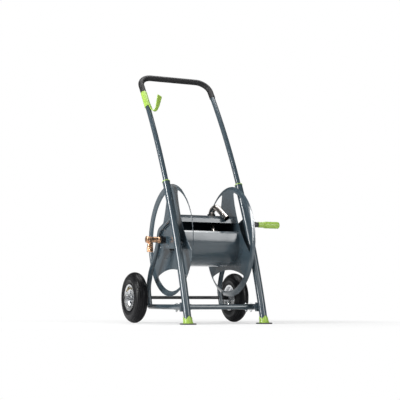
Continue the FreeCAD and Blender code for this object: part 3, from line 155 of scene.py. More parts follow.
# %% Tone drift: a slow change of lightness over the surface
tone_drift, ins, outs = shader_group(
    "tone_drift", [("Colour", COLOUR, (0.5, 0.5, 0.5, 1)), ("Scale", NUMBER, 6), ("Amount", NUMBER, 0.1)],
    [("Colour", COLOUR)])
drift_noise = rest_place(tone_drift, ins.outputs["Scale"])
centred = node(tone_drift, "Math", operation="SUBTRACT", input_1=0.5)
sized = node(tone_drift, "Math", operation="MULTIPLY")
lifted = node(tone_drift, "Math", operation="MULTIPLY_ADD", input_1=2.4, input_2=1.0)
tinted = node(tone_drift, "VectorMath", operation="SCALE")
wire(tone_drift, [
    (drift_noise.outputs["Fac"], centred.inputs[0]),
    (centred, sized.inputs[0]),
    (ins.outputs["Amount"], sized.inputs[1]),
    (sized, lifted.inputs[0]),
    (ins.outputs["Colour"], tinted.inputs[0]),
    (lifted, tinted.inputs["Scale"]),
    (tinted, outs.inputs[0])])

# %% Worn edges: where a rounded normal leaves the true one, broken up by noise
worn_edges, ins, outs = shader_group(
    "worn_edges", [("Reach", NUMBER, 0.0012), ("Amount", NUMBER, 0.5), ("Scale", NUMBER, 60)],
    [("Mask", NUMBER)])
rounded = node(worn_edges, "Bevel", samples=4)
surface = node(worn_edges, "NewGeometry")
likeness = node(worn_edges, "VectorMath", operation="DOT_PRODUCT")
edge = node(worn_edges, "MapRange", input_1=0.985, input_2=0.86, input_3=0.0, input_4=1.0)
edge_noise = rest_place(worn_edges, ins.outputs["Scale"])
broken = node(worn_edges, "MapRange", input_1=0.38, input_2=0.62, input_3=0.0, input_4=1.0)
together = node(worn_edges, "Math", operation="MULTIPLY")
measured = node(worn_edges, "Math", operation="MULTIPLY", use_clamp=True)
wire(worn_edges, [
    (ins.outputs["Reach"], rounded.inputs["Radius"]),
    (rounded, likeness.inputs[0]),
    (surface.outputs["Normal"], likeness.inputs[1]),
    (likeness.outputs["Value"], edge.inputs[0]),
    (edge_noise.outputs["Fac"], broken.inputs[0]),
    (edge, together.inputs[0]),
    (broken, together.inputs[1]),
    (together, measured.inputs[0]),
    (ins.outputs["Amount"], measured.inputs[1]),
    (measured, outs.inputs[0])])

# %% Coating skin: the faint orange peel of powder coat and moulded plastic
coating_skin, ins, outs = shader_group(
    "coating_skin", [("Scale", NUMBER, 900)], [("Height", NUMBER)])
fine = rest_place(coating_skin, ins.outputs["Scale"])
broad_scale = node(coating_skin, "Math", operation="MULTIPLY", input_1=0.18)
wire(coating_skin, [
    (ins.outputs["Scale"], broad_scale.inputs[0])])
broad = rest_place(coating_skin, broad_scale.outputs[0])
both = node(coating_skin, "Math", operation="MULTIPLY_ADD", input_1=0.6)
wire(coating_skin, [
    (fine.outputs["Fac"], both.inputs[0]),
    (broad.outputs["Fac"], both.inputs[2]),
    (both, outs.inputs[0])])

# %% Smudges: patches where the gloss is a little duller
smudges, ins, outs = shader_group(
    "smudges", [("Scale", NUMBER, 14), ("Low", NUMBER, 0.3), ("High", NUMBER, 0.45)],
    [("Roughness", NUMBER)])
patches = rest_place(smudges, ins.outputs["Scale"])
spread = node(smudges, "MapRange", input_1=0.35, input_2=0.68)
wire(smudges, [
    (patches.outputs["Fac"], spread.inputs[0]),
    (ins.outputs["Low"], spread.inputs[3]),
    (ins.outputs["High"], spread.inputs[4]),
    (spread, outs.inputs[0])])

# %% Settled dust: pale on faces that look up, broken up by noise
settled_dust, ins, outs = shader_group(
    "settled_dust", [("Amount", NUMBER, 0.2), ("Scale", NUMBER, 40)], [("Mask", NUMBER)])
facing = node(settled_dust, "NewGeometry")
parts_of = node(settled_dust, "SeparateXYZ")
upward = node(settled_dust, "MapRange", input_1=0.1, input_2=1.0, input_3=0.25, input_4=1.0)
dust_noise = rest_place(settled_dust, ins.outputs["Scale"])
speckled = node(settled_dust, "MapRange", input_1=0.35, input_2=0.7)
dust_both = node(settled_dust, "Math", operation="MULTIPLY")
dust_sized = node(settled_dust, "Math", operation="MULTIPLY", use_clamp=True)
wire(settled_dust, [
    (facing.outputs["Normal"], parts_of.inputs[0]),
    (parts_of.outputs["Z"], upward.inputs[0]),
    (dust_noise.outputs["Fac"], speckled.inputs[0]),
    (upward, dust_both.inputs[0]),
    (speckled, dust_both.inputs[1]),
    (dust_both, dust_sized.inputs[0]),
    (ins.outputs["Amount"], dust_sized.inputs[1]),
    (dust_sized, outs.inputs[0])])

# %% Foam pebble: the small rounded cells of a soft grip
foam_pebble, ins, outs = shader_group(
    "foam_pebble", [("Scale", NUMBER, 700)], [("Height", NUMBER)])
foam_place = node(foam_pebble, "TexCoord")
cells = node(foam_pebble, "TexVoronoi", feature="SMOOTH_F1")
wire(foam_pebble, [
    (foam_place.outputs["Object"], cells.inputs["Vector"]),
    (ins.outputs["Scale"], cells.inputs["Scale"]),
    (cells.outputs["Distance"], outs.inputs[0])])

# %% Drawn lines: the fine lines that turning, drawing or brushing leaves along one axis
drawn_lines, ins, outs = shader_group(
    "drawn_lines", [("Across", "NodeSocketVector", (600, 20, 20))], [("Value", NUMBER)])
line_place = node(drawn_lines, "TexCoord")
stretched = node(drawn_lines, "VectorMath", operation="MULTIPLY")
lines = node(drawn_lines, "TexNoise", input_2=1.0, input_3=4.0, input_4=0.6)
wire(drawn_lines, [
    (line_place.outputs["Object"], stretched.inputs[0]),
    (ins.outputs["Across"], stretched.inputs[1]),
    (stretched, lines.inputs["Vector"]),
    (lines.outputs["Fac"], outs.inputs[0])])
print("shader groups:", [group.name for group in bpy.data.node_groups])

# %% [markdown]
# ## Finishes
#
# One function mixes the groups into a material, because all the finishes share a build: a base
# tone that drifts, a gloss with smudges, a fine height, worn edges that show what lies
# underneath, and a little dust. What differs is the numbers. The names are the record's own
# material slots, so that a later scene can repaint a slot.

# %% The finish builder
FINISH = {}
DUST_COLOUR = (0.36, 0.35, 0.33, 1)
COAT_ROUGHNESS, FOAM_DEPTH, LINE_DEPTH = 0.22, 0.0005, 0.00004


def place_group(tree, group, **values):
    """Puts a shader group into a material and sets its named inputs."""
    placed = node(tree, "Group", node_tree=group)
    for label, given in values.items():
        placed.inputs[label].default_value = given
    return placed


def finish(slot, colour, gloss, drift=0.1, drift_scale=7, metal=0.0, skin=0, skin_depth=0.0,
           pebble=0, lines=None, wear=0.0, wear_colour=(0.3, 0.3, 0.3), dust=0.0, coat=0.0,
           specular=0.5):
    """Builds one slot's material out of the shared groups."""
    material = bpy.data.materials.new(slot)
    material.use_nodes = True
    tree = material.node_tree
    shader = tree.nodes["Principled BSDF"]
    shader.inputs["Metallic"].default_value = metal
    shader.inputs["Coat Weight"].default_value = coat
    shader.inputs["Coat Roughness"].default_value = COAT_ROUGHNESS
    shader.inputs["Specular IOR Level"].default_value = specular
    tone = place_group(tree, tone_drift, Colour=(*colour, 1), Scale=drift_scale, Amount=drift)
    colour_out = tone.outputs["Colour"]
    rough = place_group(tree, smudges, Scale=drift_scale * 2.3, Low=gloss[0], High=gloss[1])
    if wear:
        edges = place_group(tree, worn_edges, Reach=0.0012, Amount=wear, Scale=90)
        bare = node(tree, "Mix", data_type="RGBA")
        bare.inputs[7].default_value = (*wear_colour, 1)
        tree.links.new(edges.outputs["Mask"], bare.inputs[0])
        tree.links.new(colour_out, bare.inputs[6])
        colour_out = bare.outputs[2]
    if dust:
        film = place_group(tree, settled_dust, Amount=dust, Scale=30)
        dusty = node(tree, "Mix", data_type="RGBA")
        dusty.inputs[7].default_value = DUST_COLOUR
        tree.links.new(film.outputs["Mask"], dusty.inputs[0])
        tree.links.new(colour_out, dusty.inputs[6])
        colour_out = dusty.outputs[2]
    tree.links.new(colour_out, shader.inputs["Base Color"])
    tree.links.new(rough.outputs["Roughness"], shader.inputs["Roughness"])
    heights = []
    if skin:
        heights.append((place_group(tree, coating_skin, Scale=skin).outputs["Height"], skin_depth))
    if pebble:
        heights.append((place_group(tree, foam_pebble, Scale=pebble).outputs["Height"], FOAM_DEPTH))
    if lines:
        heights.append((place_group(tree, drawn_lines, Across=lines).outputs["Value"], LINE_DEPTH))
    before = None
    for height, depth in heights:
        bump = node(tree, "Bump")
        bump.inputs["Strength"].default_value = 0.6
        bump.inputs["Distance"].default_value = depth
        tree.links.new(height, bump.inputs["Height"])
        if before:
            tree.links.new(before.outputs[0], bump.inputs["Normal"])
        before = bump
    if before:
        tree.links.new(before.outputs[0], shader.inputs["Normal"])
    FINISH[slot] = material
    return material


# %% The finishes
finish("grey_powder_coat", (0.040, 0.063, 0.080), (0.17, 0.25), drift=0.08, skin=900,
       skin_depth=0.00003, wear=0.15, wear_colour=(0.15, 0.18, 0.20), dust=0.02, coat=0.8)
finish("lime_plastic", (0.335, 0.515, 0.080), (0.26, 0.38), drift=0.07, drift_scale=12, skin=1500,
       skin_depth=0.00003, wear=0.12, wear_colour=(0.48, 0.62, 0.26), dust=0.03)
finish("dark_rubber", (0.030, 0.034, 0.036), (0.50, 0.68), drift=0.2, skin=1200,
       skin_depth=0.00010, wear=0.3, wear_colour=(0.07, 0.07, 0.075), dust=0.12)
finish("black_plastic", (0.008, 0.009, 0.010), (0.30, 0.44), drift=0.15, skin=1400,
       skin_depth=0.00005, wear=0.2, wear_colour=(0.04, 0.04, 0.045), dust=0.03)
finish("grip_foam", (0.0085, 0.0085, 0.0095), (0.46, 0.60), drift=0.14, drift_scale=20, pebble=1100,
       wear=0.15, wear_colour=(0.03, 0.03, 0.032), specular=0.3)
finish("zinc_steel", (0.55, 0.56, 0.57), (0.20, 0.36), metal=1.0, drift=0.12, drift_scale=40,
       skin=1600, skin_depth=0.00002, wear=0.2, wear_colour=(0.75, 0.75, 0.75))
finish("dark_steel", (0.010, 0.011, 0.013), (0.26, 0.40), metal=0.2, drift=0.12, skin=1200,
       skin_depth=0.00003, wear=0.25, wear_colour=(0.16, 0.17, 0.18))
finish("polished_pipe", (0.60, 0.55, 0.51), (0.10, 0.20), metal=1.0, drift=0.14, drift_scale=25,
       lines=(900, 900, 60), wear=0.1, wear_colour=(0.65, 0.6, 0.54))
finish("brass", (0.74, 0.44, 0.27), (0.20, 0.32), metal=1.0, drift=0.14, drift_scale=45,
       lines=(1400, 60, 60), wear=0.2, wear_colour=(0.80, 0.55, 0.38))
finish("tyre_rubber", (0.0045, 0.0047, 0.0060), (0.30, 0.44), drift=0.22, drift_scale=16, skin=700,
       skin_depth=0.00010, wear=0.2, wear_colour=(0.018, 0.018, 0.020), dust=0.02, specular=0.25)
finish("rim_steel", (0.80, 0.81, 0.82), (0.16, 0.30), metal=1.0, drift=0.10, drift_scale=20,
       skin=900, skin_depth=0.00003, wear=0.1, wear_colour=(0.7, 0.7, 0.7))
finish("valve_brass", (0.30, 0.24, 0.14), (0.28, 0.4), metal=1.0, drift=0.15, drift_scale=60)

slot_of = {}
for part in frame["record"]["subparts"]:
    slot_of[part["node"]] = part["material_slot"]
for name, cad_node in frame["nodes"].items():
    cad_node.data.materials.clear()
    cad_node.data.materials.append(FINISH[slot_of[name]])
print("finishes:", sorted(FINISH))

# %% [markdown]
# ## Mesh helpers
#
# Most pieces here are turned, or follow a line, so three helpers do nearly all the work. One
# skins a row of rings, one turns an outline about an axis, and one carries an outline along a
# line. Corners are softened in the outline itself, since a crisp edge never catches light the
# way a moulded or machined one does.


# %% Rings, turned shapes and swept shapes
def skin_rings(rings, closed=False):
    """Vertices and quads between rings of equal length; open rows are capped at both ends."""
    count = len(rings[0])
    verts = [point for ring in rings for point in ring]
    faces = []
    rows = len(rings)
    for row in range(rows if closed else rows - 1):
        near, far = row * count, ((row + 1) % rows) * count
        for index in range(count):
            following = (index + 1) % count
            faces.append((near + index, near + following, far + following, far + index))
    if not closed:
        faces.append(tuple(reversed(range(count))))
        faces.append(tuple(range((rows - 1) * count, rows * count)))
    return verts, faces


def soften(outline, radius, closed=True, steps=3):
    """Rounds the corners of a flat outline of (a, b) pairs."""
    softened = []
    count = len(outline)
    for index, corner in enumerate(outline):
        if not closed and index in (0, count - 1):
            softened.append(corner)
            continue
        here = Vector(corner)
        before = Vector(outline[index - 1]) - here
        after = Vector(outline[(index + 1) % count]) - here
        reach = min(radius, before.length * 0.45, after.length * 0.45)
        if before.length < 1e-9 or after.length < 1e-9 or before.angle(after) > math.radians(168):
            softened.append(corner)
            continue
        start, end = here + before.normalized() * reach, here + after.normalized() * reach
        for step in range(steps + 1):
            t = step / steps
            softened.append(tuple(start * (1 - t) ** 2 + here * 2 * t * (1 - t) + end * t ** 2))
    return softened


def turned(outline, origin, axis=X_AXIS, segments=72, closed=True, wave=None):
    """Turns (along, radius) pairs about an axis; wave(angle, along, radius) may change a radius."""
    turn = axis.to_track_quat("Z", "Y")
    rings = []
    for along, radius in outline:
        ring = []
        for index in range(segments):
            angle = 2 * math.pi * index / segments
            out = radius if wave is None else wave(angle, along, radius)
            ring.append(origin + turn @ Vector((out * math.cos(angle), out * math.sin(angle), along)))
        rings.append(ring)
    return skin_rings(rings, closed)


def frames_along(points):
    """A heading and a side direction at each point of a line, without twist."""
    frames = []
    side = None
    for index, point in enumerate(points):
        before = points[max(index - 1, 0)]
        after = points[min(index + 1, len(points) - 1)]
        heading = (after - before).normalized()
        if side is None:
            side = heading.orthogonal().normalized()
        side = (side - heading * side.dot(heading)).normalized()
        frames.append((point, heading, side))
    return frames


def swept_tube(points, radius_at, inner, segments=40):
    """A hollow tube along a line; radius_at(length, total) gives its outer radius."""
    frames = frames_along(points)
    lengths = [0.0]
    for before, after in zip(points, points[1:]):
        lengths.append(lengths[-1] + (after - before).length)

    def ring(frame_here, radius):
        point, heading, side = frame_here
        other = heading.cross(side)
        return [point + side * (radius * math.cos(2 * math.pi * k / segments))
                + other * (radius * math.sin(2 * math.pi * k / segments)) for k in range(segments)]

    outer = [ring(here, radius_at(length, lengths[-1])) for here, length in zip(frames, lengths)]
    hollow = [ring(here, inner) for here in reversed(frames)]
    return skin_rings(outer + hollow, closed=True)


def arc_line(points, bend, step=0.004):
    """Straight runs with a rounded corner at each inner point, as evenly spaced points."""
    line = [points[0]]
    for before, corner, after in zip(points, points[1:], points[2:]):
        arriving, leaving = (corner - before).normalized(), (after - corner).normalized()
        turn = arriving.angle(leaving)
        reach = bend * math.tan(turn / 2)
        centre = corner + (leaving - arriving).normalized() * (bend / math.cos(turn / 2))
        entry = corner - arriving * reach
        axis = arriving.cross(leaving).normalized()
        steps = max(6, int(bend * turn / step))
        for index in range(steps + 1):
            spin = Matrix.Rotation(turn * index / steps, 3, axis)
            line.append(centre + spin @ (entry - centre))
    line.append(points[-1])
    return line


def spaced(points, step):
    """The same line with points added so that no run is longer than a step."""
    line = [points[0]]
    for before, after in zip(points, points[1:]):
        parts = max(1, math.ceil((after - before).length / step))
        for index in range(parts):
            line.append(before.lerp(after, (index + 1) / parts))
    return line


# %% Making a piece
def join(shapes):
    """Several (vertices, faces) pairs as one."""
    verts, faces = [], []
    for more_verts, more_faces in shapes:
        offset = len(verts)
        verts += more_verts
        faces += [tuple(index + offset for index in face) for face in more_faces]
    return verts, faces


def make_piece(name, shape, body, slot, stands_for=(), crease=38):
    """Turns vertices and faces into a finished piece that rides on a CAD body."""
    mesh = bpy.data.meshes.new(name)
    mesh.from_pydata([tuple(point) for point in shape[0]], [], shape[1])
    tidy = bmesh.new()
    tidy.from_mesh(mesh)
    bmesh.ops.remove_doubles(tidy, verts=tidy.verts, dist=1e-6)
    bmesh.ops.recalc_face_normals(tidy, faces=tidy.faces)
    tidy.to_mesh(mesh)
    tidy.free()
    mesh.shade_smooth()
    mesh.set_sharp_from_angle(angle=math.radians(crease))
    piece = bpy.data.objects.new(name, mesh)
    bpy.context.scene.collection.objects.link(piece)
    mesh.materials.append(FINISH[slot])
    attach(piece, body)
    if stands_for:
        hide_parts(*stands_for)
    print(f"{name}: {len(mesh.vertices)} vertices on {body}")
    return piece


def solids(cad_name):
    """The separate solids of a CAD node, each as a list of its points."""
    mesh = frame["nodes"][cad_name].data
    islands = bmesh.new()
    islands.from_mesh(mesh)
    bmesh.ops.remove_doubles(islands, verts=islands.verts, dist=2e-6)
    unseen = set(islands.verts)
    found = []
    while unseen:
        queue = [unseen.pop()]
        island = []
        while queue:
            vert = queue.pop()
            island.append(vert.co.copy())
            for line in vert.link_edges:
                other = line.other_vert(vert)
                if other in unseen:
                    unseen.remove(other)
                    queue.append(other)
        found.append(island)
    islands.free()
    found.sort(key=lambda island: tuple(round(value, 4) for value in sum(island, Vector()) / len(island)))
    return found


def box_of(points):
    """Lowest and highest corner of some points."""
    return (Vector([min(point[k] for point in points) for k in range(3)]),
            Vector([max(point[k] for point in points) for k in range(3)]))


# %% [markdown]
# ## Tyres
#
# An air-filled tyre is a ring whose section is nearly round. The outside carries rows of small
# blocks, cut apart by narrow grooves, and the rows are staggered. Real blocks have shape, so the
# tread is cut into the mesh instead of painted on. Each block's sides get their own vertices, and
# the grooves lean more towards the shoulders, which gives the chevron look of a cart tyre.

# %% Tyres
TYRE_BLOCKS = 54
GROOVE_DEPTH = 2.4 * MM
TREAD_ROWS = ((-63, -46), (-44, -29), (-27, -12), (-10, 10), (12, 27), (29, 44), (46, 63))


def tyre(side, sign):
    """A tyre with seven staggered rows of blocks, ribbed walls and a bead."""
    low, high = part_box("tyre_" + side)
    centre = (low + high) / 2
    section = (high.x - low.x) / 2
    ring = (high.z - low.z) / 2 - section
    stops = []
    for row, (start, end) in enumerate(TREAD_ROWS):
        parity = row % 2
        stops += [(start - 0.2, 0, parity), (start + 1.2, 1, parity), ((start + end) / 2, 1, parity),
                  (end - 1.2, 1, parity), (end + 0.2, 0, parity)]
    wall = [(66, 0.3), (70, 0.6), (74, 0.25), (82, 0.2), (90, 0.2), (96, 0.55), (98, 0.55), (100, 0.2),
            (110, 0.2), (118, 0.2), (121, 0.7), (125, 0.7), (128, 0.2), (136, 0.0)]
    stops = ([(-angle, height, 2) for angle, height in reversed(wall)] + stops
             + [(angle, height, 2) for angle, height in wall])
    columns = (0.0, 0.07, 0.43, 0.5, 0.57, 0.93)
    rings = []
    for block in range(TYRE_BLOCKS):
        for column, share in enumerate(columns):
            ring_points = []
            for angle, height, parity in stops:
                cut = (parity == 0 and column == 0) or (parity == 1 and column == 3)
                if parity == 2:
                    depth = GROOVE_DEPTH * (1 - height)
                else:
                    depth = GROOVE_DEPTH if cut or height == 0 else 0.0
                lean = 0.42 * min(abs(angle), 66) / 66
                around = 2 * math.pi * (block + share + lean) / TYRE_BLOCKS
                across = math.radians(angle)
                out = ring + (section - depth) * math.cos(across)
                x = centre.x + sign * (section - depth) * math.sin(across)
                ring_points.append(Vector(
                    (x, centre.y + out * math.cos(around), centre.z + out * math.sin(around))))
            inner = ring - section * 0.74
            for angle in (120, 60, 0, -60, -120):
                x = centre.x + sign * section * 0.56 * math.sin(math.radians(angle))
                lift = 1.0 + 0.03 * math.cos(math.radians(angle))
                around = 2 * math.pi * (block + share + 0.42) / TYRE_BLOCKS
                ring_points.append(Vector((
                    x, centre.y + inner * lift * math.cos(around),
                    centre.z + inner * lift * math.sin(around))))
            rings.append(ring_points)
    make_piece("tyre_tread_" + side, skin_rings(rings, closed=True), "wheel_" + side,
               "tyre_rubber", ["tyre_" + side], crease=50)


for side, sign in SIDES:
    tyre(side, sign)

# %% [markdown]
# ## Flanges
#
# Each flange is one sheet, pressed so that its rim flares outwards, with three large windows cut
# out of it. The sheet is turned from an outline with a soft bend, and the windows are cut with a
# boolean, because their corners are round and their long side is an arch. A narrow bevel then
# breaks the cut edges, as the powder coat does.

# %% Flanges
SHEET = 2.0 * MM
WINDOW_OUTER, WINDOW_ARCH, WINDOW_RADIUS = 0.248, 0.142, 0.500


def window_outline():
    """One window, seen along the axis with its middle straight down: an arch and a rim arc."""
    centre = WINDOW_ARCH + WINDOW_RADIUS
    reach = (WINDOW_OUTER ** 2 - WINDOW_RADIUS ** 2 + centre ** 2) / (2 * centre)
    half_rim = math.acos(reach / WINDOW_OUTER)
    half_arch = math.asin(WINDOW_OUTER * math.sin(half_rim) / WINDOW_RADIUS)
    rim = [half_rim * (1 - 2 * k / 40) for k in range(41)]
    arch = [half_arch * (2 * k / 28 - 1) for k in range(1, 28)]
    outline = [(WINDOW_OUTER * math.sin(a), WINDOW_OUTER * math.cos(a)) for a in rim]
    outline += [(WINDOW_RADIUS * math.sin(a), centre - WINDOW_RADIUS * math.cos(a)) for a in arch]
    return round_ends(outline)


def round_ends(outline):
    """Rounds the two sharp corners of a lens by cutting them with an arc."""
    rounded_outline = []
    for index, corner in enumerate(outline):
        here = Vector(corner)
        before = Vector(outline[index - 1]) - here
        after = Vector(outline[(index + 1) % len(outline)]) - here
        if before.angle(after) > math.radians(130):
            rounded_outline.append(corner)
            continue
        start, end = here + before, here + after
        for step in range(1, 6):
            t = step / 6
            rounded_outline.append(tuple(start * (1 - t) ** 2 + here * 2 * t * (1 - t) + end * t ** 2))
    return rounded_outline


def flange(side, sign):
    """A pressed flange with a flared lip and three windows."""
    low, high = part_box("reel_flange_" + side)
    inner_face = low.x if sign > 0 else -high.x
    lip = high.x if sign > 0 else -low.x
    rim = (high.z - low.z) / 2
    flat = rim - 23 * MM
    lift = lip - inner_face
    outline = [(0, 13.6 * MM), (SHEET, 13.6 * MM), (SHEET, flat - 3 * MM)]
    bend = [(SHEET + (lift - SHEET) * t ** 1.6, flat - 3 * MM + (rim - flat + 1.2 * MM) * t ** 0.9)
            for t in (0.08, 0.2, 0.35, 0.5, 0.65, 0.8, 0.92)]
    outline += bend
    outline += [(lift - 0.3 * MM, rim - 1.2 * MM), (lift, rim - 0.5 * MM), (lift - 0.4 * MM, rim),
                (lift - 1.6 * MM, rim)]
    outline += [(max(along - SHEET * 0.95, 0), radius + 0.9 * MM) for along, radius in reversed(bend[1:])]
    outline += [(0, flat - 2 * MM)]
    plate = make_piece(
        "pressed_flange_" + side, turned(outline, REEL + X_AXIS * sign * inner_face, X_AXIS * sign, 240),
        "reel", "grey_powder_coat", ["reel_flange_" + side], crease=30)
    cutters = []
    lens = window_outline()
    for index in range(3):
        spin = math.radians(-90 + 120 * index)
        out = Vector((0, math.cos(spin), math.sin(spin)))
        across = X_AXIS.cross(out)
        rings = [[REEL + X_AXIS * (sign * inner_face + shift) + out * b + across * a for a, b in lens]
                 for shift in (-0.05, 0.05)]
        cutters.append(skin_rings(rings))
    verts, faces = join(cutters)
    mesh = bpy.data.meshes.new("window_cutter")
    mesh.from_pydata([tuple(point) for point in verts], [], faces)
    tidy = bmesh.new()
    tidy.from_mesh(mesh)
    bmesh.ops.recalc_face_normals(tidy, faces=tidy.faces)
    tidy.to_mesh(mesh)
    tidy.free()
    cutter = bpy.data.objects.new("window_cutter", mesh)
    bpy.context.scene.collection.objects.link(cutter)
    opening = plate.modifiers.new("windows", "BOOLEAN")
    opening.operation, opening.solver, opening.object = "DIFFERENCE", "EXACT", cutter
    edge_round = plate.modifiers.new("broken edges", "BEVEL")
    edge_round.width, edge_round.segments, edge_round.limit_method = 0.5 * MM, 2, "ANGLE"
    edge_round.angle_limit = math.radians(50)
    settle(plate)
    bpy.data.objects.remove(cutter)
    plate.data.shade_smooth()
    plate.data.set_sharp_from_angle(angle=math.radians(32))


def settle(piece):
    """Applies a piece's modifiers, so that the mesh itself has the shape."""
    bpy.context.view_layer.update()
    made = bpy.data.meshes.new_from_object(
        piece.evaluated_get(bpy.context.evaluated_depsgraph_get()), preserve_all_data_layers=True,
        depsgraph=bpy.context.evaluated_depsgraph_get())
    piece.modifiers.clear()
    piece.data = made


for side, sign in SIDES:
    flange(side, sign)

# %% [markdown]
# ## Handle grip and hose hook
#
# The grip is a foam sleeve that is pushed over the whole top of the handle, so it follows the
# tube round both corners. It is swept along the same line as the tube, with its two ends rolled
# in. The hook is one moulding: a sleeve around the left arm, and a blade that drops, turns and
# comes up, getting wider towards its tip.

# %% The handle's line
HANDLE_REACH, HANDLE_BEND, GRIP_ARM = 1.430, 0.068, 0.118
GRIP_START = HANDLE_REACH - GRIP_ARM
TUBE_RADIUS = 12.7 * MM


def handle_line(start):
    """Points up the left arm, across the top and down the right arm."""
    turn_in = HANDLE_REACH - HANDLE_BEND
    up = bow_heading(turn_in)
    half = []
    for index in range(13):
        half.append(bow_point(-LEG_X, start + (turn_in - start) * index / 12))
    corner = half[-1]
    for index in range(1, 15):
        angle = math.pi / 2 * index / 14
        half.append(corner + X_AXIS * HANDLE_BEND * (1 - math.cos(angle))
                    + up * HANDLE_BEND * math.sin(angle))
    mirrored = [Vector((-point.x, point.y, point.z)) for point in reversed(half)]
    return spaced(half + mirrored, 0.006)


def rolled_end(full, length, total, fade=0.004):
    """A radius that falls off over the last few millimetres of both ends."""
    edge_gap = min(length, total - length)
    if edge_gap >= fade:
        return full
    return full - 1.6 * MM * (1 - math.sqrt(1 - (1 - edge_gap / fade) ** 2))


grip_line = handle_line(GRIP_START)
fine_ends = [grip_line[0].lerp(grip_line[1], t) for t in (0, 0.05, 0.15, 0.3, 0.5, 0.75)]
fine_ends_far = [grip_line[-2].lerp(grip_line[-1], t) for t in (0.25, 0.5, 0.7, 0.85, 0.95, 1)]
grip_line = fine_ends + grip_line[1:-1] + fine_ends_far
make_piece("foam_grip", swept_tube(
    grip_line, lambda length, total: rolled_end(15.1 * MM, length, total), TUBE_RADIUS + 0.05 * MM, 40),
    "handle", "grip_foam", ["grip_sleeve"])

# %% Hose hook
HOOK_SLEEVE, HOOK_SWING, HOOK_REACH = 0.102, math.radians(60), 0.086


def hose_hook():
    """A sleeve with rolled ends, and a blade that widens towards its tip."""
    top = GRIP_START - 2 * MM
    base = top - HOOK_SLEEVE
    sleeve_line = [bow_point(-LEG_X, base + HOOK_SLEEVE * k / 24) for k in range(25)]
    sleeve_line = ([sleeve_line[0].lerp(sleeve_line[1], t) for t in (0, 0.1, 0.3, 0.6)]
                   + sleeve_line[1:-1]
                   + [sleeve_line[-2].lerp(sleeve_line[-1], t) for t in (0.4, 0.7, 0.9, 1)])
    sleeve = swept_tube(
        sleeve_line, lambda length, total: rolled_end(16.1 * MM, length, total, 0.003),
        TUBE_RADIUS + 0.05 * MM, 44)
    origin = bow_point(-LEG_X, base)
    up = bow_heading(base)
    back = up.cross(X_AXIS)
    outward = X_AXIS * math.cos(HOOK_SWING) - back * math.sin(HOOK_SWING)
    across = outward.cross(up).normalized()
    wall = 16.1 * MM
    corners = [
        origin + outward * (wall - 3 * MM) + up * 20 * MM,
        origin + outward * (wall + 1.5 * MM) - up * 30 * MM,
        origin + outward * HOOK_REACH * 0.40 - up * 60 * MM,
        origin + outward * HOOK_REACH * 0.66 - up * 34 * MM,
        origin + outward * HOOK_REACH + up * 14 * MM,
    ]
    line = spaced(arc_line(corners, 13 * MM, 0.003), 0.004)
    frames = frames_along(line)
    total = len(frames) - 1
    rings = []
    for index, (point, heading, _) in enumerate(frames):
        share = index / total
        width = 7.5 * MM if share < 0.45 else 7.5 * MM + 8.5 * MM * ((share - 0.45) / 0.55) ** 0.8
        thick = 2.4 * MM
        if index == total:
            width, thick = width - 1.2 * MM, thick - 1.0 * MM
        normal = across.cross(heading).normalized()
        rings.append([point + across * a * width + normal * b * thick for a, b in rounded_block()])
    make_piece("hose_hook_moulding", join([sleeve, skin_rings(rings)]), "handle", "lime_plastic",
               ["hose_hook"], crease=45)


def rounded_block():
    """A unit outline with rounded corners, for a flat strip."""
    corners = soften([(-1, -1), (1, -1), (1, 1), (-1, 1)], 0.35, steps=3)
    return corners


hose_hook()

# %% [markdown]
# ## Collars and feet
#
# The leg tubes end in moulded collars, of which only a lime-green ring shows. At the bottom
# each leg stands in a green cup whose rim is cut into points, and the cup stands on a rubber pad.
# The cups are built as a wall of rings whose top edge goes up and down four times round.

# %% Leg collars
LEG_TOP, COLLAR_HEAD = 0.733, 4 * MM
for side, sign in SIDES:
    low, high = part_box("leg_collar_" + side)
    outline = soften([(-0.045, 13.1 * MM), (-0.045, 16.1 * MM), (-0.0003, 16.1 * MM), (0.0, 19.4 * MM),
                      (COLLAR_HEAD, 19.4 * MM), (COLLAR_HEAD, 13.1 * MM)], 1.4 * MM)
    ring_axis = bow_heading(LEG_TOP)
    make_piece("collar_ring_" + side, turned(
        outline, bow_point(sign * LEG_X, LEG_TOP), ring_axis, 56), "frame", "lime_plastic",
        ["leg_collar_" + side])

# %% Foot cups and pads
LEG_FOOT, CUP_LENGTH = 13 * MM, 27 * MM


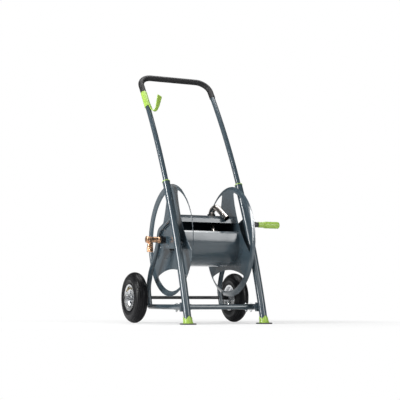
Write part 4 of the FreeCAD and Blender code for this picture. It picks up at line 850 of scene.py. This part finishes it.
def foot(side, sign):
    """A crown-topped cup on a ribbed rubber pad."""
    x = sign * LEG_X
    heading = bow_heading(LEG_FOOT)
    rim_distance = CUP_LENGTH * 0.7
    base = bow_point(x, LEG_FOOT)
    side_axis = X_AXIS
    front_axis = heading.cross(side_axis)
    pad_low, pad_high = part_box("foot_pad_" + side)
    pad_top = pad_high.z
    count = 64
    rings = []
    profile = [(-1.0, 25.5), (-0.72, 24.0), (-0.4, 23.0), (0.0, 22.2), (0.5, 21.3), (0.9, 20.8),
               (1.0, 20.4)]
    inner = [(1.0, 18.9), (0.86, 18.15), (0.0, 18.1)]
    for rows in (profile, inner):
        for level, radius in rows:
            ring = []
            for index in range(count):
                angle = 2 * math.pi * index / count
                crown = 1 - abs(((index / count * 4 + 0.5) % 1) - 0.5) * 2
                tip = rim_distance + (5.0 * MM - 15 * MM * (1 - crown))
                flare = 1.0 * MM * crown if level > 0.8 else 0
                out = radius * MM + flare
                away = side_axis * math.cos(angle) + front_axis * math.sin(angle)
                if level >= 0:
                    ring.append(base + heading * tip * level + away * out)
                else:
                    foot_point = base + away * out
                    drop = (foot_point.z - pad_top) / heading.z
                    ring.append(foot_point + heading * (drop * level))
            rings.append(ring)
    make_piece("foot_crown_" + side, skin_rings(rings), "frame", "lime_plastic",
               ["foot_cup_" + side], crease=50)
    radius = (pad_high.x - pad_low.x) / 2
    outline = soften([(0, 0.2 * MM), (0, radius - 1.5 * MM), (2.2 * MM, radius), (4.2 * MM, radius),
                      (6 * MM, radius - 2.4 * MM), (6 * MM, radius - 9 * MM), (5.2 * MM, radius - 10 * MM),
                      (5.2 * MM, radius - 12.5 * MM), (5.9 * MM, radius - 13.5 * MM), (5.9 * MM, 0.2 * MM)],
                     0.9 * MM)
    centre = Vector(((pad_low.x + pad_high.x) / 2, (pad_low.y + pad_high.y) / 2, pad_low.z))
    make_piece("rubber_pad_" + side, turned(outline, centre, Z_AXIS, 72), "frame", "dark_rubber",
               ["foot_pad_" + side])


for side, sign in SIDES:
    foot(side, sign)

# %% [markdown]
# ## Crank grip, outlet pipe and brass
#
# The crank's grip is a turned moulding with a slimmer neck. The outlet is a polished tube that
# rises out of the drum and bends over. The inlet is turned brass: a barrel with a ribbed cap, a
# branch, and a coupling whose outside is fluted so that wet fingers can turn it.

# %% Crank grip and collar
low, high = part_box("crank_grip")
grip_start = Vector((low.x, (low.y + high.y) / 2, (low.z + high.z) / 2))
grip_length = high.x - low.x
outline = [(0, 6.1), (0, 12.6), (0.8, 13.7), (3, 14.0), (27, 14.0), (30, 14.4), (34, 15.6),
           (38, 16.6), (42, 17.0), (60, 16.8), (80, 16.85), (108, 17.0), (112, 16.5), (114.6, 15.0),
           (115.8, 12.6), (116, 9.0), (116, 0.3)]
outline = [(along * MM * grip_length / 0.116, radius * MM) for along, radius in outline]
inside = [(grip_length - 7 * MM, 0.3 * MM), (grip_length - 7 * MM, 6.1 * MM)]
make_piece("crank_grip_moulding", turned(outline + inside, grip_start, X_AXIS, 64), "crank_grip",
           "lime_plastic", ["crank_grip"])
low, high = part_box("crank_collar")
collar_start = Vector((low.x, (low.y + high.y) / 2, (low.z + high.z) / 2))
collar_length, collar_radius = high.x - low.x, (high.z - low.z) / 2
outline = soften([(0, 6.06 * MM), (0, collar_radius), (collar_length * 0.55, collar_radius),
                  (collar_length * 0.6, collar_radius - 1.5 * MM), (collar_length, collar_radius - 1.5 * MM),
                  (collar_length, 6.06 * MM)], 0.8 * MM)
make_piece("crank_collar_ring", turned(outline, collar_start, X_AXIS, 56), "crank_grip",
           "black_plastic", ["crank_collar"])

# %% Outlet pipe
PIPE_RADIUS, PIPE_OFFSET, PIPE_BEND = 15 * MM, 0.067, 0.030
DRUM_RADIUS = 0.126
pipe_base = REEL + X_AXIS * PIPE_OFFSET
pipe_corners = [
    pipe_base + Z_AXIS * (13.5 + 14) * MM,
    pipe_base + Vector((2 * MM, 28 * MM, DRUM_RADIUS + 78 * MM)),
    pipe_base + Vector((34 * MM, -92 * MM, DRUM_RADIUS - 18 * MM)),
]
pipe_line = spaced(arc_line(pipe_corners, PIPE_BEND, 0.003), 0.006)
pipe_line = pipe_line[:-1] + [pipe_line[-2].lerp(pipe_line[-1], t) for t in (0.5, 0.8, 0.95, 1)]


def pipe_lip(length, total):
    """The pipe's radius, with a slight rolled lip at its open end."""
    rest = total - length
    if rest > 5 * MM:
        return PIPE_RADIUS - 0.5 * MM
    return PIPE_RADIUS - 0.5 * MM * min(1, rest / (5 * MM)) - (0.5 * MM if rest < 0.2 * MM else 0)


make_piece("polished_gooseneck", swept_tube(pipe_line, pipe_lip, PIPE_RADIUS - 2.2 * MM, 48), "reel",
           "polished_pipe", ["outlet_gooseneck"])

# %% Inlet brass
elbow_low, elbow_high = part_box("inlet_elbow")
coupling_low, coupling_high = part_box("inlet_coupling")
branch_x = (coupling_low.x + coupling_high.x) / 2
barrel_end = Vector((elbow_low.x, REEL.y, REEL.z))
barrel_length = elbow_high.x - elbow_low.x
barrel = [(0, 0.3), (0, 9.0), (0.6, 12.5), (1.5, 15.5), (3, 17), (7, 17), (8, 16.2), (9, 14.8), (11, 14.4),
          (13, 15.6), (15, 15.6), (17, 14.4), (36, 14.4), (38, 13.8), (40, 13.8), (42, 14.4)]
tail = barrel_length / MM
barrel += [(tail - 11.5, 14.4), (tail - 10, 16.4), (tail - 1, 16.4), (tail, 15.6), (tail, 9.1)]
barrel = soften([(along * MM, radius * MM) for along, radius in barrel], 0.7 * MM, steps=2)
barrel += [(8 * MM, 9.1 * MM), (8 * MM, 0.3 * MM)]


def cap_flats(angle, along, radius):
    """Eight shallow flats on the barrel's cap."""
    if along > 8 * MM or radius < 12 * MM:
        return radius
    return radius * (1 - 0.035 * (0.5 + 0.5 * math.cos(8 * angle)) ** 2)


branch_top = Vector((branch_x, REEL.y, REEL.z))
drop = REEL.z - elbow_low.z
branch = [(4, 6.9), (4, 12.6), (16, 12.2), (18, 11.6), (22, 11.4), (24, 13.2), (26, 13.5), (32, 13.5),
          (33, 12.8), (33, 10.0)]
branch = soften([(along * MM, radius * MM) for along, radius in branch], 0.6 * MM, steps=2)
branch += [(drop - 3.2 * MM, 10 * MM), (drop - 3.2 * MM, 11.2 * MM), (drop - 0.2 * MM, 11.2 * MM),
           (drop, 10.9 * MM), (drop, 6.9 * MM)]
make_piece("brass_swivel_elbow", join([
    turned(barrel, barrel_end, X_AXIS, 64, wave=cap_flats),
    turned(branch, branch_top, -Z_AXIS, 56)]), "inlet", "brass", ["inlet_elbow"])

mouth = Vector((branch_x, (coupling_low.y + coupling_high.y) / 2, coupling_low.z))
length = coupling_high.z - coupling_low.z
radius = (coupling_high.x - coupling_low.x) / 2


def flutes(angle, along, out):
    """Fluting on the coupling's outside, which fades at both rims."""
    if out < radius - 1.2 * MM or along < 2.5 * MM or along > length - 5 * MM:
        return out
    return out - 0.8 * MM * (0.5 + 0.5 * math.cos(18 * angle)) ** 3


outline = soften([(0, 12.1 * MM), (0, radius - 1 * MM), (1.2 * MM, radius), (3 * MM, radius),
                  (3.6 * MM, radius), (length - 6 * MM, radius), (length - 5 * MM, radius),
                  (length - 2.5 * MM, radius - 1.2 * MM), (length, radius - 3 * MM),
                  (length, 10.4 * MM)], 0.5 * MM, steps=2)
threads = []
for turn in range(7):
    level = length - 6 * MM - turn * 2.4 * MM
    threads += [(level, 12.1 * MM), (level - 0.6 * MM, 12.1 * MM), (level - 1.2 * MM, 12.9 * MM),
                (level - 1.8 * MM, 12.1 * MM)]
outline += [(length - 4 * MM, 10.4 * MM), (length - 4 * MM, 12.1 * MM)] + [
    spot for spot in threads if spot[0] > 0.4 * MM]
make_piece("brass_hose_coupling", turned(outline, mouth, Z_AXIS, 144, wave=flutes), "coupling", "brass",
           ["inlet_coupling"], crease=42)

# %% [markdown]
# ## Bolts, screws and nuts
#
# Bought fasteners have a chamfer on every corner of their head and a thread on what shows of
# their shank. The CAD gives plain prisms, in groups of separate solids. Each solid is read back
# from its node, and a proper bolt, screw or nut is put in the same place, with the same sizes.


# %% Fastener shapes
def hex_head(origin, axis, radius, height, bore=0.0):
    """A hexagonal head whose top corners are cut by a cone; with a bore it is a nut."""
    turn = axis.to_track_quat("Z", "Y")
    count = 48

    def hexagon_radius(angle, full):
        return full * math.cos(math.pi / 6) / math.cos((angle % (math.pi / 3)) - math.pi / 6)

    rings = []
    flat = radius * math.cos(math.pi / 6)
    levels = [(0.0, 0.985), (0.04, 1.0), (0.70, 1.0), (0.84, 0.975), (0.94, 0.93), (1.0, 0.86)]
    if bore:
        levels = [(0.0, 0.90), (0.08, 0.96), (0.2, 1.0), (0.8, 1.0), (0.92, 0.96), (1.0, 0.90)]
    for level, share in levels:
        ring = []
        for index in range(count):
            angle = 2 * math.pi * index / count
            out = min(hexagon_radius(angle, radius), radius * share)
            out = max(out, min(flat, radius * share)) if share > 0.9 else min(out, radius * share)
            ring.append(origin + turn @ Vector((
                out * math.cos(angle), out * math.sin(angle), height * level)))
        rings.append(ring)
    if bore:
        for level in (1.0, 0.0):
            rings.append([origin + turn @ Vector((
                bore * math.cos(2 * math.pi * k / count), bore * math.sin(2 * math.pi * k / count),
                height * level)) for k in range(count)])
        return skin_rings(rings, closed=True)
    return skin_rings(rings)


def threaded_shank(origin, axis, radius, length, pitch=1.25 * MM):
    """A round shank with rolled thread rings and a chamfered end."""
    outline = [(0, 0.2 * MM), (0, radius)]
    along = pitch
    while along < length - pitch:
        outline += [(along, radius), (along + pitch * 0.5, radius - 0.5 * MM)]
        along += pitch
    outline += [(length - 0.8 * MM, radius - 0.1 * MM), (length, radius - 0.8 * MM), (length, 0.2 * MM)]
    return turned(outline, origin, axis, 24)


def bolts_of(cad_name, axis_of, body, slot, piece_name):
    """Replaces a node of bolts and nuts; axis_of(low, high) points from shank tip to head."""
    shapes = []
    for island in solids(cad_name):
        low, high = box_of(island)
        centre = (low + high) / 2
        axis = axis_of(low, high)
        lowest = min((point - centre).dot(axis) for point in island)
        highest = max((point - centre).dot(axis) for point in island)
        spread = [((point - centre) - axis * (point - centre).dot(axis)).length for point in island]
        radius = max(spread)
        if highest - lowest < radius * 1.2:
            bore = min(spread)
            shapes.append(hex_head(centre + axis * lowest, axis, radius, highest - lowest, bore))
            continue
        under = max((point - centre).dot(axis) for point in island
                    if (point - centre).dot(axis) < highest - 0.001)
        shank = min(((point - centre) - axis * (point - centre).dot(axis)).length for point in island
                    if (point - centre).dot(axis) < lowest + 0.0005 and
                    ((point - centre) - axis * (point - centre).dot(axis)).length > 0.001)
        shapes.append(hex_head(centre + axis * under, axis, radius, highest - under))
        shapes.append(threaded_shank(centre + axis * under, axis * -1, shank, under - lowest))
    return make_piece(piece_name, join(shapes), body, slot, [cad_name], crease=30)


def outboard(low, high):
    """Screws on both sides of the reel have their heads outboard."""
    return X_AXIS if low.x + high.x > 0 else -X_AXIS


def frame_bolt_axis(low, high):
    """The frame's bolts stand upright, apart from the one behind each strut."""
    return Y_AXIS if low.y > 0.3 else Z_AXIS


bolts_of("frame_bolts", frame_bolt_axis, "frame", "zinc_steel", "frame_bolt_set")
for place, body in (("bearing", "frame"), ("hub", "reel"), ("drum", "reel")):
    bolts_of(place + "_screws", outboard, body, "zinc_steel", place + "_screw_set")

# %% Axle nuts and washers
shapes = []
for island in solids("axle_nuts"):
    low, high = box_of(island)
    axis = outboard(low, high)
    centre = (low + high) / 2
    height = high.x - low.x
    radius = max(math.hypot(point.y - centre.y, point.z - centre.z) for point in island)
    bore = min(math.hypot(point.y - centre.y, point.z - centre.z) for point in island)
    start = centre - axis * height / 2
    if height < 4 * MM:
        outline = soften([(0, bore), (0, radius), (height, radius), (height, bore)], 0.5 * MM)
        shapes.append(turned(outline, start, axis, 48))
    else:
        shapes.append(hex_head(start, axis, radius, height, bore))
make_piece("axle_nut_set", join(shapes), "frame", "zinc_steel", ["axle_nuts"], crease=30)

# %% [markdown]
# ## Studio
#
# The cart stands on a white sweep under a large soft light. Tall narrow lights on both sides draw
# the long bright lines down the tubes, and an overhead panel lights the drum. The floor is white
# enough to vanish into the background, apart from soft contact shadows.

# %% Floor
floor_mesh = bpy.data.meshes.new("studio_floor")
reach = 24.0
floor_mesh.from_pydata([(-reach, -reach, 0), (reach, -reach, 0), (reach, reach, 0), (-reach, reach, 0)],
                       [], [(0, 1, 2, 3)])
floor = bpy.data.objects.new("studio_floor", floor_mesh)
bpy.context.scene.collection.objects.link(floor)
floor_paint = bpy.data.materials.new("studio_floor_paint")
floor_paint.use_nodes = True
tree = floor_paint.node_tree
paint = tree.nodes["Principled BSDF"]
paint.inputs["Base Color"].default_value = (0.86, 0.86, 0.86, 1)
paint.inputs["Roughness"].default_value = 0.6
paint.inputs["Specular IOR Level"].default_value = 0.2
glow = node(tree, "Emission", input_0=(1, 1, 1, 1), input_1=1.0)
place = node(tree, "TexCoord")
from_middle = node(tree, "VectorMath", operation="DISTANCE", input_1=(0, 0.3, 0))
far = node(tree, "MapRange", input_1=0.50, input_2=1.3, input_3=0.50, input_4=1.0,
           interpolation_type="SMOOTHSTEP")
seen_ray = node(tree, "LightPath")
shown = node(tree, "Math", operation="MULTIPLY")
blend = node(tree, "MixShader")
wire(tree, [
    (place.outputs["Object"], from_middle.inputs[0]),
    (from_middle.outputs["Value"], far.inputs[0]),
    (far, shown.inputs[0]),
    (seen_ray.outputs["Is Camera Ray"], shown.inputs[1]),
    (shown, blend.inputs[0]),
    (paint, blend.inputs[1]),
    (glow, blend.inputs[2]),
    (blend, tree.nodes["Material Output"].inputs[0])])
floor_mesh.materials.append(floor_paint)

# %% World and lights
scene = bpy.context.scene
scene.view_settings.view_transform = "Standard"
world = bpy.data.worlds.new("studio")
scene.world = world
world.use_nodes = True
sky = world.node_tree
seen = node(sky, "Background", input_0=(1, 1, 1, 1), input_1=1.0)
fill = sky.nodes["Background"]
fill.inputs[0].default_value = (0.97, 0.985, 1.0, 1)
fill.inputs[1].default_value = 0.085
ray = node(sky, "LightPath")
pick = node(sky, "MixShader")
wire(sky, [
    (ray.outputs["Is Camera Ray"], pick.inputs[0]),
    (fill, pick.inputs[1]),
    (seen, pick.inputs[2]),
    (pick, sky.nodes["World Output"].inputs[0])])


def softbox(name, place, aim, width, height, watts):
    """A rectangular area light that points at a spot."""
    lamp = bpy.data.lights.new(name, "AREA")
    lamp.shape, lamp.size, lamp.size_y, lamp.energy = "RECTANGLE", width, height, watts
    holder = bpy.data.objects.new(name, lamp)
    holder.location = place
    holder.rotation_euler = (Vector(aim) - Vector(place)).to_track_quat("-Z", "Y").to_euler()
    holder.visible_camera = False
    scene.collection.objects.link(holder)


softbox("left_strip", (-3.0, 0.1, 1.75), (0, 0.3, 1.0), 0.6, 2.6, 118)
softbox("right_panel", (1.55, -2.45, 1.55), (0, 0.3, 0.8), 1.0, 2.4, 46)
softbox("overhead_panel", (0.1, 0.9, 3.0), (0, 0.3, 0.3), 2.4, 1.4, 60)
softbox("back_panel", (-1.9, 3.4, 1.3), (0, 0.3, 0.5), 2.2, 2.2, 5)
softbox("front_panel", (-1.6, -3.2, 2.8), (0, 0.3, 0.4), 2.0, 0.8, 16)

# %% Camera
camera = bpy.data.cameras.new("camera")
camera.sensor_width = 36
camera.lens = 96.47
viewer = bpy.data.objects.new("camera", camera)
viewer.location = (-2.20625, -4.50051, 0.11027)
viewer.rotation_euler = (math.radians(90 + 5.355), 0, math.radians(-24.687))
scene.collection.objects.link(viewer)
scene.camera = viewer
